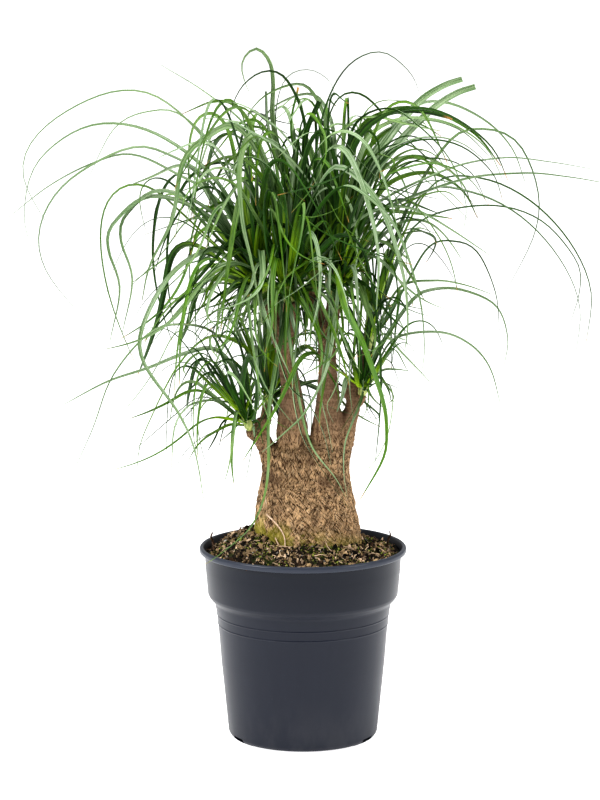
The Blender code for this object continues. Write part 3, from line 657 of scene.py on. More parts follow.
def make_pot(plastic):
    wall = rounded([*pot_outside(), *POT_INSIDE, (0.001, FLOOR)], POT_CORNER)
    pot = show("moulded_pot", lathe([(0, 0), *wall, (0, FLOOR)], POT_SIDES), plastic)
    cutters = [drain_slot(angle) for angle in SLOT_ANGLES]
    cutters += [foot_recess(angle + SLOT_TO_RECESS) for angle in SLOT_ANGLES]
    cut(pot, cutters)
    pot.data.set_sharp_from_angle(angle=math.radians(40))
    settle(pot, "pot_plastic", "nursery_pot")


def pot_plastic():
    """Satin slate-grey polypropylene: flow marks, fine grain, dust, and dried splashes near the foot."""
    look = Finish("slate plastic")
    spot = look.place()
    height = look.part(spot, "Z")
    clouds = look.noise(spot, 9, 4)
    streaks = look.noise(look.stretched((60, 60, 5)), 1, 3)
    grain = look.noise(spot, 900, 2)
    dust = look.noise(spot, 260, 5, 0.7).band(0.60, 0.78)
    low = 1 - height.band(0.004, 0.075)
    film = low * look.noise(look.stretched((34, 34, 14)), 1, 4).band(0.38, 0.66)
    colour = look.mix((0.005, 0.007, 0.015), (0.010, 0.013, 0.024), clouds)
    colour = look.mix(colour, (0.016, 0.019, 0.032), streaks * 0.35)
    # painted shade: the wall is darkened from 130 mm up, over the collar
    colour = look.mix(colour, (0.001, 0.003, 0.009), height.band(0.130, 0.200) * 0.75)
    # painted highlight: the lip is lightened to blue-grey from 215.5 mm up
    colour = look.mix(colour, (0.040, 0.047, 0.066), height.band(0.2155, 0.2170) * 0.80)
    colour = look.mix(colour, (0.100, 0.100, 0.104), film * 0.14 + dust * 0.12)
    roughness = 0.35 + clouds * 0.08 + dust * 0.20 + film * 0.15
    relief = grain * 0.35 + streaks * 0.5
    shine = {"Specular_IOR_Level": 0.16, "Coat_Weight": 0.16, "Coat_Roughness": 0.3}
    return look.finish(colour, roughness, relief, 0.00012, **shine)


# ---------------------------------------------------------------- trunk


def caudex_reach(angle, radius, height):
    """The swollen foot isn't round: soft lobes, and roots that spread just above the soil."""
    lobes = 0.014 * math.sin(3 * angle + 0.8) + 0.010 * math.sin(5 * angle + 2.1 + 26 * height)
    spread = math.exp(-(((height - 0.216) / 0.016) ** 2))
    roots = 0.030 * spread * (math.cos(angle) + 0.5 * math.cos(4 * angle + 1))
    depth = CAUDEX_DEPTH - SHOULDER_FLATNESS * eased((height - 0.275) / 0.060)
    oval = math.hypot(math.cos(angle), math.sin(angle) / depth)
    return radius * (1 + lobes + roots) / oval


CAUDEX_PROFILE = (
    (0, 0.166),
    (0.034, 0.168),
    (0.050, 0.175),
    (0.0600, 0.188),
    (0.0635, 0.203),
    (0.0648, 0.218),
    (0.0638, 0.231),
    (0.0610, 0.246),
    (0.0586, 0.268),
    (0.0543, 0.288),
    (0.0515, 0.307),
    (0.0505, 0.321),
    (0.0485, 0.331),
    (0.0430, 0.338),
    (0.0340, 0.343),
    (0.0200, 0.348),
    (0, 0.350),
)

# Each stem: (x, y, z, radius) from inside the trunk to its flat end.
STEMS = (
    (
        (-0.0280, 0.000, 0.300, 0.0150),
        (-0.0405, -0.002, 0.335, 0.0115),
        (-0.0490, -0.004, 0.3555, 0.0090),
        (-0.0465, -0.004, 0.3735, 0.0066),
    ),
    (
        (-0.006, 0.000, 0.300, 0.0220),
        (-0.0115, -0.002, 0.345, 0.0195),
        (-0.0130, -0.004, 0.3815, 0.0152),
        (-0.0142, -0.006, 0.410, 0.0114),
        (-0.0180, -0.007, 0.4345, 0.0096),
        (-0.0222, -0.008, 0.453, 0.0090),
    ),
    (
        (0.0210, 0.000, 0.300, 0.0190),
        (0.0265, -0.001, 0.350, 0.0185),
        (0.0288, -0.002, 0.3815, 0.0152),
        (0.0288, -0.003, 0.4045, 0.0130),
        (0.0280, -0.003, 0.430, 0.0110),
        (0.0275, -0.002, 0.463, 0.0102),
        (0.0315, 0.000, 0.482, 0.0095),
    ),
    (
        (0.0340, 0.002, 0.300, 0.0120),
        (0.0450, 0.003, 0.338, 0.0125),
        (0.0515, 0.003, 0.3665, 0.0106),
        (0.0572, 0.003, 0.390, 0.0086),
        (0.0560, 0.003, 0.4185, 0.0062),
    ),
    ((0.0550, 0.002, 0.393, 0.0055), (0.0465, 0.001, 0.4065, 0.0045)),
)

# The spurs that bear a rosette, each ending in its flat seat.
SEATS = {
    "rosette_low_left": (
        (-0.0485, -0.005, 0.351, 0.0066),
        (-0.0570, -0.0105, 0.3545, 0.0060),
        (-0.0600, -0.0135, 0.3620, 0.0062),
    ),
    "rosette_left_back": (
        (-0.0475, 0.000, 0.355, 0.0068),
        (-0.0430, 0.014, 0.369, 0.0064),
        (-0.0405, 0.021, 0.385, 0.0066),
    ),
    "rosette_upper_left": (
        (-0.0218, -0.008, 0.448, 0.0086),
        (-0.0290, -0.007, 0.471, 0.0082),
        (-0.0355, -0.006, 0.492, 0.0080),
        (-0.0440, -0.005, 0.514, 0.0090),
    ),
    "rosette_centre": (
        (-0.0210, -0.009, 0.446, 0.0084),
        (-0.0160, -0.013, 0.470, 0.0080),
        (-0.0138, -0.015, 0.487, 0.0080),
        (-0.0158, -0.017, 0.509, 0.0090),
    ),
    "rosette_upper_right": (
        (0.0302, -0.001, 0.474, 0.0090),
        (0.0345, 0.001, 0.498, 0.0088),
        (0.0358, 0.001, 0.512, 0.0090),
    ),
    "rosette_low_right": (
        (0.0560, 0.002, 0.387, 0.0062),
        (0.0642, -0.002, 0.3925, 0.0060),
        (0.0668, -0.0040, 0.4005, 0.0064),
    ),
    "rosette_right_back": (
        (0.0555, 0.004, 0.392, 0.0068),
        (0.0640, 0.016, 0.414, 0.0064),
        (0.0725, 0.026, 0.438, 0.0068),
        (0.0745, 0.028, 0.449, 0.0080),
    ),
    "rosette_back": (
        (0.0275, -0.001, 0.448, 0.0088),
        (0.0215, 0.013, 0.474, 0.0078),
        (0.0145, 0.026, 0.502, 0.0076),
        (0.0125, 0.031, 0.524, 0.0088),
    ),
}


def caudex(margin=0.0):
    """The swollen foot, with its skin moved out by the margin."""
    profile = [tuple(point) for point in smooth_line(CAUDEX_PROFILE[1:-1], 5)]

    def reach(angle, radius, height):
        return caudex_reach(angle, radius, height) + margin

    return lathe([CAUDEX_PROFILE[0], *profile, CAUDEX_PROFILE[-1]], 96, reach, CAUDEX_CENTRE)


def crossed_fissures(spot, turn, seed):
    """0 to 1: short broken cracks that climb the foot on a slant, one way or the other with turn."""
    angle = turn * spot.z + 0.5 * noise.noise(spot * 22 + UP * seed)
    x = spot.x * math.cos(angle) - spot.y * math.sin(angle)
    y = spot.x * math.sin(angle) + spot.y * math.cos(angle)
    crack = noise.noise(Vector((x * 210, y * 210, spot.z * 62 + seed)))
    return eased((crack - 0.02) / 0.30)


def bark_relief(spot):
    """How far the bark stands out here, in metres, and how deep in a crack it is, 0 to 1."""
    stem = eased((spot.z - 0.325) / 0.05)
    lumps = 0.0018 * noise.noise(spot * 34) + 0.0011 * noise.noise(spot * 80 + UP)
    bent = spot + 0.004 * noise.noise_vector(spot * 60)
    cracks = max(crossed_fissures(bent, 15, 3), 0.9 * crossed_fissures(bent, -12, 7))
    cracks *= 1 - 0.80 * stem
    wander = 0.0030 * noise.noise(spot * 38)
    scar = math.sin(math.tau * (spot.z + wander) / 0.0062)
    scars = eased(0.5 - 2.2 * (scar + 0.55)) * stem * eased(0.15 + 1.3 * noise.noise(spot * 90))
    flakes = 0.0006 * noise.noise(spot * 230)
    out = lumps * (1 - 0.55 * stem) + flakes - 0.0011 * cracks - 0.0002 * scars
    return out, max(cracks, 0.22 * scars)


def make_trunk(bark):
    whole = caudex()
    for stations in (*STEMS, *SEATS.values()):
        add_tube(whole, stations, 28)
    bmesh.ops.recalc_face_normals(whole, faces=whole.faces)
    trunk = show("bark_trunk", whole, bark, smooth=0)
    skin = trunk.modifiers.new("skin", "REMESH")
    skin.mode = "VOXEL"
    skin.voxel_size = BARK_VOXEL
    soften = trunk.modifiers.new("soften", "SMOOTH")
    soften.factor = 0.5
    soften.iterations = 12
    baked(trunk)
    mesh = trunk.data
    depth = mesh.attributes.new("crack", "FLOAT", "POINT")
    noise.seed_set(BARK_SEED)
    moved = []
    for corner in mesh.vertices:
        out, crack = bark_relief(corner.co)
        depth.data[corner.index].value = crack
        moved.append(corner.co + corner.normal * out)
    for corner, spot in zip(mesh.vertices, moved):
        corner.co = spot
    mesh.materials.clear()
    mesh.materials.append(bark)
    mesh.shade_smooth()
    settle(trunk, "bark", "trunk")
    return trunk


def bark_finish():
    """Dry tan bark: slanting cracks with pale fibres on the foot, browner stems, green at the soil."""
    look = Finish("tan bark")
    spot = look.place()
    height = look.part(spot, "Z")
    stem = height.band(0.325, 0.385)
    crack = look.attribute("crack")
    sockets = {"Vector": spot, "Scale": 70.0, "Detail": 2.0}
    swirl = look.add("ShaderNodeTexNoise", None, sockets, "Color")
    swirl = look.vector("SUBTRACT", swirl, (0.5, 0.5, 0.5))
    bent = look.vector("ADD", spot, look.vector("MULTIPLY", swirl, (0.006, 0.006, 0.006)))

    def slanted(turn, across, along):
        sockets = {"Vector": bent, "Angle": height * turn}
        turned = look.add("ShaderNodeVectorRotate", {"rotation_type": "Z_AXIS"}, sockets)
        return look.noise(look.vector("MULTIPLY", turned, (across, across, along)), 1, 4, 0.62)

    rising = slanted(16, 640, 95)
    falling = slanted(-13, 600, 100)
    hatch = rising * 0.5 + falling * 0.5
    splits = (1 - rising.band(0.38, 0.47)).maths("MAXIMUM", (1 - falling.band(0.37, 0.46)) * 0.85)
    fibres = slanted(9, 900, 100).band(0.50, 0.64)
    patches = look.noise(spot, 38, 4)
    rings = look.noise(look.stretched((18, 18, 330)), 1, 3)
    colour = look.mix((0.215, 0.110, 0.048), (0.700, 0.450, 0.235), hatch.band(0.43, 0.54))
    bright = 1 - height.band(0.235, 0.300) * 0.25
    colour = look.mix(colour, (1.000, 0.740, 0.450), fibres * (0.88 - stem * 0.60) * bright)
    blotches = patches.band(0.50, 0.66) * height.band(0.235, 0.290)
    # random darker blotches, plus painted shade that darkens the bark from 262 mm up
    blotches_and_shade = blotches * 0.55 + height.band(0.262, 0.310) * 0.28
    colour = look.mix(colour, (0.180, 0.105, 0.058), blotches_and_shade)
    stem_colour = look.mix((0.185, 0.110, 0.066), (0.295, 0.184, 0.113), rings.band(0.34, 0.66))
    colour = look.mix(colour, stem_colour, stem * 0.80)
    colour = look.mix(colour, (0.022, 0.010, 0.004), splits * (0.92 - stem * 0.74))
    # painted shade: darker where the crack attribute says the bark lies deep in a crack or scar
    colour = look.mix(colour, (0.045, 0.022, 0.010), crack * 0.40)
    low = 1 - (height + look.part(spot, "X") * 0.25).band(0.228, 0.262)
    algae = low * look.noise(spot, 52, 4).band(0.42, 0.56)
    colour = look.mix(colour, (0.370, 0.350, 0.030), algae * 0.80)
    relief = hatch * 0.9 + fibres * 0.25 + rings * stem * 0.20 - splits * 0.35
    return look.finish(colour, 0.80 + patches * 0.12, relief, 0.0018, Specular_IOR_Level=0.20)


# ---------------------------------------------------------------- soil


def soil_height(x, y):
    """Crumbly, heaped against the trunk, and more so at its left."""
    out = math.hypot(x - CAUDEX_CENTRE, y)
    heap = 0.017 * (1 - eased((out - 0.050) / 0.060))
    left = 0.010 * eased((-x - 0.01) / 0.05) * (1 - eased((out - 0.090) / 0.024))
    waves = 0.0012 * math.sin(95 * x + 1.3) * math.cos(110 * y - 0.4)
    return SOIL_EDGE + heap + left + waves


def soil_lumps(x, y):
    """The relief of the soil's top, from clods down to crumbs."""
    spot = Vector((x, y, 0))
    lumps = 0.0034 * noise.noise(spot * 75) + 0.0026 * noise.noise(spot * 160)
    return lumps + 0.0014 * noise.noise(spot * 330)


def make_soil(peat):
    wall = [(radius - SOIL_GAP, height) for radius, height in POT_INSIDE[1:]]
    wall[0] = (SOIL_RADIUS, SOIL_EDGE)
    foot = FLOOR + SOIL_GAP
    rings = int((SOIL_RADIUS - 0.002) / SOIL_STEP)
    tops = [(SOIL_RADIUS * (1 - ring / rings), SOIL_EDGE) for ring in range(1, rings)]
    profile = [(0, foot), (wall[-1][0], foot), *wall[-2::-1], *tops, (0, SOIL_EDGE)]
    shape = lathe(profile, 288)
    for corner in shape.verts:
        x, y, z = corner.co
        if z > SOIL_EDGE - SOIL_GAP:
            rim = 1 - eased((math.hypot(x, y) - 0.104) / 0.006)
            corner.co.z = soil_height(x, y) + soil_lumps(x, y) * rim
    soil = show("peat_bed", shape, peat)
    cut(soil, [caudex(SOIL_HOLE_MARGIN)], "MANIFOLD")
    settle(soil, "soil", "potting_soil")
    return soil


def peat_finish():
    """Dark damp grains, with a green film of moss in places."""
    look = Finish("moist peat")
    spot = look.place()
    grains = look.noise(spot, 260, 6, 0.75)
    clods = look.cells(spot, 330)
    damp = look.noise(spot, 24, 3)
    colour = look.mix((0.006, 0.004, 0.003), (0.070, 0.045, 0.028), grains.band(0.40, 0.74))
    colour = look.mix(colour, (0.010, 0.007, 0.005), damp.band(0.45, 0.65) * 0.6)
    moss = look.noise(spot, 46, 4).band(0.52, 0.62)
    colour = look.mix(colour, (0.050, 0.075, 0.014), moss * 0.55)
    relief = grains * 0.7 + clods * 0.5
    return look.finish(colour, 0.93, relief, 0.0020, Specular_IOR_Level=0.2)


def crumb_finish(name, dark, light):
    """Loose bits whose tone differs from one to the next."""
    look = Finish(name)
    spot = look.place()
    tone = look.attribute("tone")
    grain = look.noise(spot, 500, 4, 0.7)
    colour = look.mix(dark, light, tone.band(0.28, 1.0) * (0.35 + grain * 1.1))
    return look.finish(colour, 0.92, grain, 0.0009, Specular_IOR_Level=0.15)


def litter_tree():
    """Scatters jittered copies of a small lump over the top of the soil."""
    tree = Shaping(
        "litter",
        {
            "Density": ("Float", 60000.0),
            "Smallest": ("Float", 0.4),
            "Largest": ("Float", 1.6),
            "Grain": ("Float", 0.0016),
            "Stretch": ("Float", 1.3),
            "Patches": ("Float", 0.0),
            "Patch Size": ("Float", 30.0),
            "Seed": ("Int", 1),
            "Finish": ("Material", None),
        },
    )
    given = tree.given
    spot = tree.add("GeometryNodeInputPosition")
    sockets = {"Vector": spot, "Scale": given["Patch Size"], "Detail": 2.0}
    patch = tree.add("ShaderNodeTexNoise", None, sockets)
    out = tree.from_axis(spot)
    patch = patch + (1 - out.band(0.056, 0.082)) * 0.10
    thick = patch.band(0.46, 0.58) * given["Patches"] + (1 - given["Patches"])
    flat = tree.part(tree.add("GeometryNodeInputNormal"), "Z")
    inside = flat.maths("GREATER_THAN", FACING_UP) * out.maths("LESS_THAN", LITTER_REACH)
    sockets = {"Mesh": given["Base"], "Selection": inside}
    sockets |= {"Density": thick * given["Density"], "Seed": given["Seed"]}
    settings = {"distribute_method": "RANDOM"}
    points = tree.add("GeometryNodeDistributePointsOnFaces", settings, sockets)
    sockets = {"Radius": given["Grain"], "Subdivisions": 1}
    lump = tree.add("GeometryNodeMeshIcoSphere", None, sockets)
    sockets = {"Vector": spot, "Scale": 700.0, "Detail": 1.0}
    bumps = tree.add("ShaderNodeTexNoise", None, sockets, "Color")
    shift = tree.scaled(tree.vector("SUBTRACT", bumps, (0.5, 0.5, 0.5)), given["Grain"] * 2.0)
    lump = tree.add("GeometryNodeSetPosition", None, {"Geometry": lump, "Offset": shift})
    size = tree.chance("FLOAT", given["Smallest"], given["Largest"], 2)
    longest = tree.combine(given["Stretch"], 1.0, 0.8)
    uneven = tree.chance("FLOAT_VECTOR", (0.6, 0.5, 0.3), longest, 3)
    tree.strew(points, lump, (0, 0, 0), (6.3, 6.3, 6.3), tree.scaled(uneven, size))
    return tree


def strand_tree():
    """Lays bent loose fibres over the top of the soil."""
    tree = Shaping(
        "fibres",
        {
            "Density": ("Float", 9000.0),
            "Length": ("Float", 0.010),
            "Thickness": ("Float", 0.00035),
            "Seed": ("Int", 1),
            "Finish": ("Material", None),
        },
    )
    given = tree.given
    flat = tree.part(tree.add("GeometryNodeInputNormal"), "Z")
    sockets = {"Mesh": given["Base"], "Selection": flat.maths("GREATER_THAN", FACING_UP)}
    sockets |= {"Density": given["Density"], "Seed": given["Seed"]}
    settings = {"distribute_method": "RANDOM"}
    points = tree.add("GeometryNodeDistributePointsOnFaces", settings, sockets)
    half = given["Length"] * 0.5
    sockets = {
        "Resolution": 6,
        "Start": tree.combine(0 - half, 0.0, 0.0),
        "Middle": tree.combine(half * 0.3, half * 0.9, half * 0.7),
        "End": tree.combine(half, 0.0, 0.0),
    }
    bow = tree.add("GeometryNodeCurveQuadraticBezier", None, sockets)
    sockets = {"Resolution": 4, "Radius": given["Thickness"]}
    ring = tree.add("GeometryNodeCurvePrimitiveCircle", None, sockets)
    sockets = {"Curve": bow, "Profile Curve": ring, "Fill Caps": True}
    fibre = tree.add("GeometryNodeCurveToMesh", None, sockets)
    size = tree.chance("FLOAT", 0.4, 1.5, 2)
    scale = tree.combine(size, size, size)
    tree.strew(points, fibre, (-0.5, -0.5, 0), (0.5, 0.5, 6.3), scale)
    return tree


def root_finish(name, dark, light):
    look = Finish(name)
    grain = look.noise(look.place(), 420, 4, 0.65)
    colour = look.mix(dark, light, grain.band(0.35, 0.62))
    return look.finish(colour, 0.7, grain, 0.0005, Specular_IOR_Level=0.3)


# Thin pale roots over the foot and the soil, and two dark twigs: a radius and the places, in mm.
ROOTS = (
    (0.95, ((-45, -38, 268), (-37, -44, 262), (-30, -49, 257), (-25, -52, 249), (-22, -54, 241),
            (-20, -58, 233), (-17, -66, 230), (-16, -74, 226), (-17, -80, 222))),
    (0.65, ((-34, -47, 243), (-28, -52, 236), (-23, -58, 231), (-21, -63, 229))),
    (0.60, ((-53, -30, 289), (-49, -34, 282), (-46, -38, 277))),
    (0.55, ((24, -50, 240), (29, -55, 232), (37, -66, 228), (46, -74, 224))),
)
TWIGS = (
    (1.9, ((-103, 8, 216), (-105, 8, 227), (-107, 6, 232), (-105, 5, 238))),
    (1.7, ((98, 22, 216), (100, 20, 228), (102, 18, 231), (101, 16, 237))),
)


def make_roots(trunk, soil, pale, dark):
    """The roots lie on whichever surface is near, and the twigs stand in the soil."""
    grounds = [surface_of(thing.data) for thing in (trunk, soil)]
    for name, lines, finish, lying in (
        ("pale_roots", ROOTS, pale, True),
        ("soil_twigs", TWIGS, dark, False),
    ):
        whole = bmesh.new()
        for radius, places in lines:
            knots = []
            for order, place in enumerate(places):
                spot = Vector(place) * MM
                if lying:
                    hits = [ground.find_nearest(spot) for ground in grounds]
                    near, normal, *_ = min(hits, key=lambda hit: hit[3])
                    spot = near + normal * (radius + 0.3) * MM
                thin = 1 - 0.55 * order / (len(places) - 1)
                knots.append((*spot, radius * thin * MM))
            add_tube(whole, knots, 8)
        bmesh.ops.recalc_face_normals(whole, faces=whole.faces)
        settle(show(name, whole, finish), "bark")


# ---------------------------------------------------------------- leaves

# fill is the number of filling leaves, as a share of count.
Rosette = namedtuple("Rosette", "name count length width heart fill")

ROSETTES = (
    Rosette("rosette_low_left", 25, 0.26, 0.0068, 0.0058, 1.4),
    Rosette("rosette_left_back", 30, 0.29, 0.0072, 0.0058, 2.0),
    Rosette("rosette_upper_left", 40, 0.40, 0.0090, 0.0082, 2.1),
    Rosette("rosette_centre", 38, 0.42, 0.0095, 0.0082, 2.4),
    Rosette("rosette_upper_right", 42, 0.42, 0.0095, 0.0082, 2.3),
    Rosette("rosette_low_right", 20, 0.26, 0.0072, 0.0058, 0.8),
    Rosette("rosette_right_back", 24, 0.33, 0.0085, 0.0070, 0.5),
    Rosette("rosette_back", 46, 0.42, 0.0090, 0.0080, 3.0),
)

# The leaves that shape the outline: each one's width and the places that it passes after its
# heart, in mm. kept is the share left of a leaf cut short.
Arch = namedtuple("Arch", "width kept places")

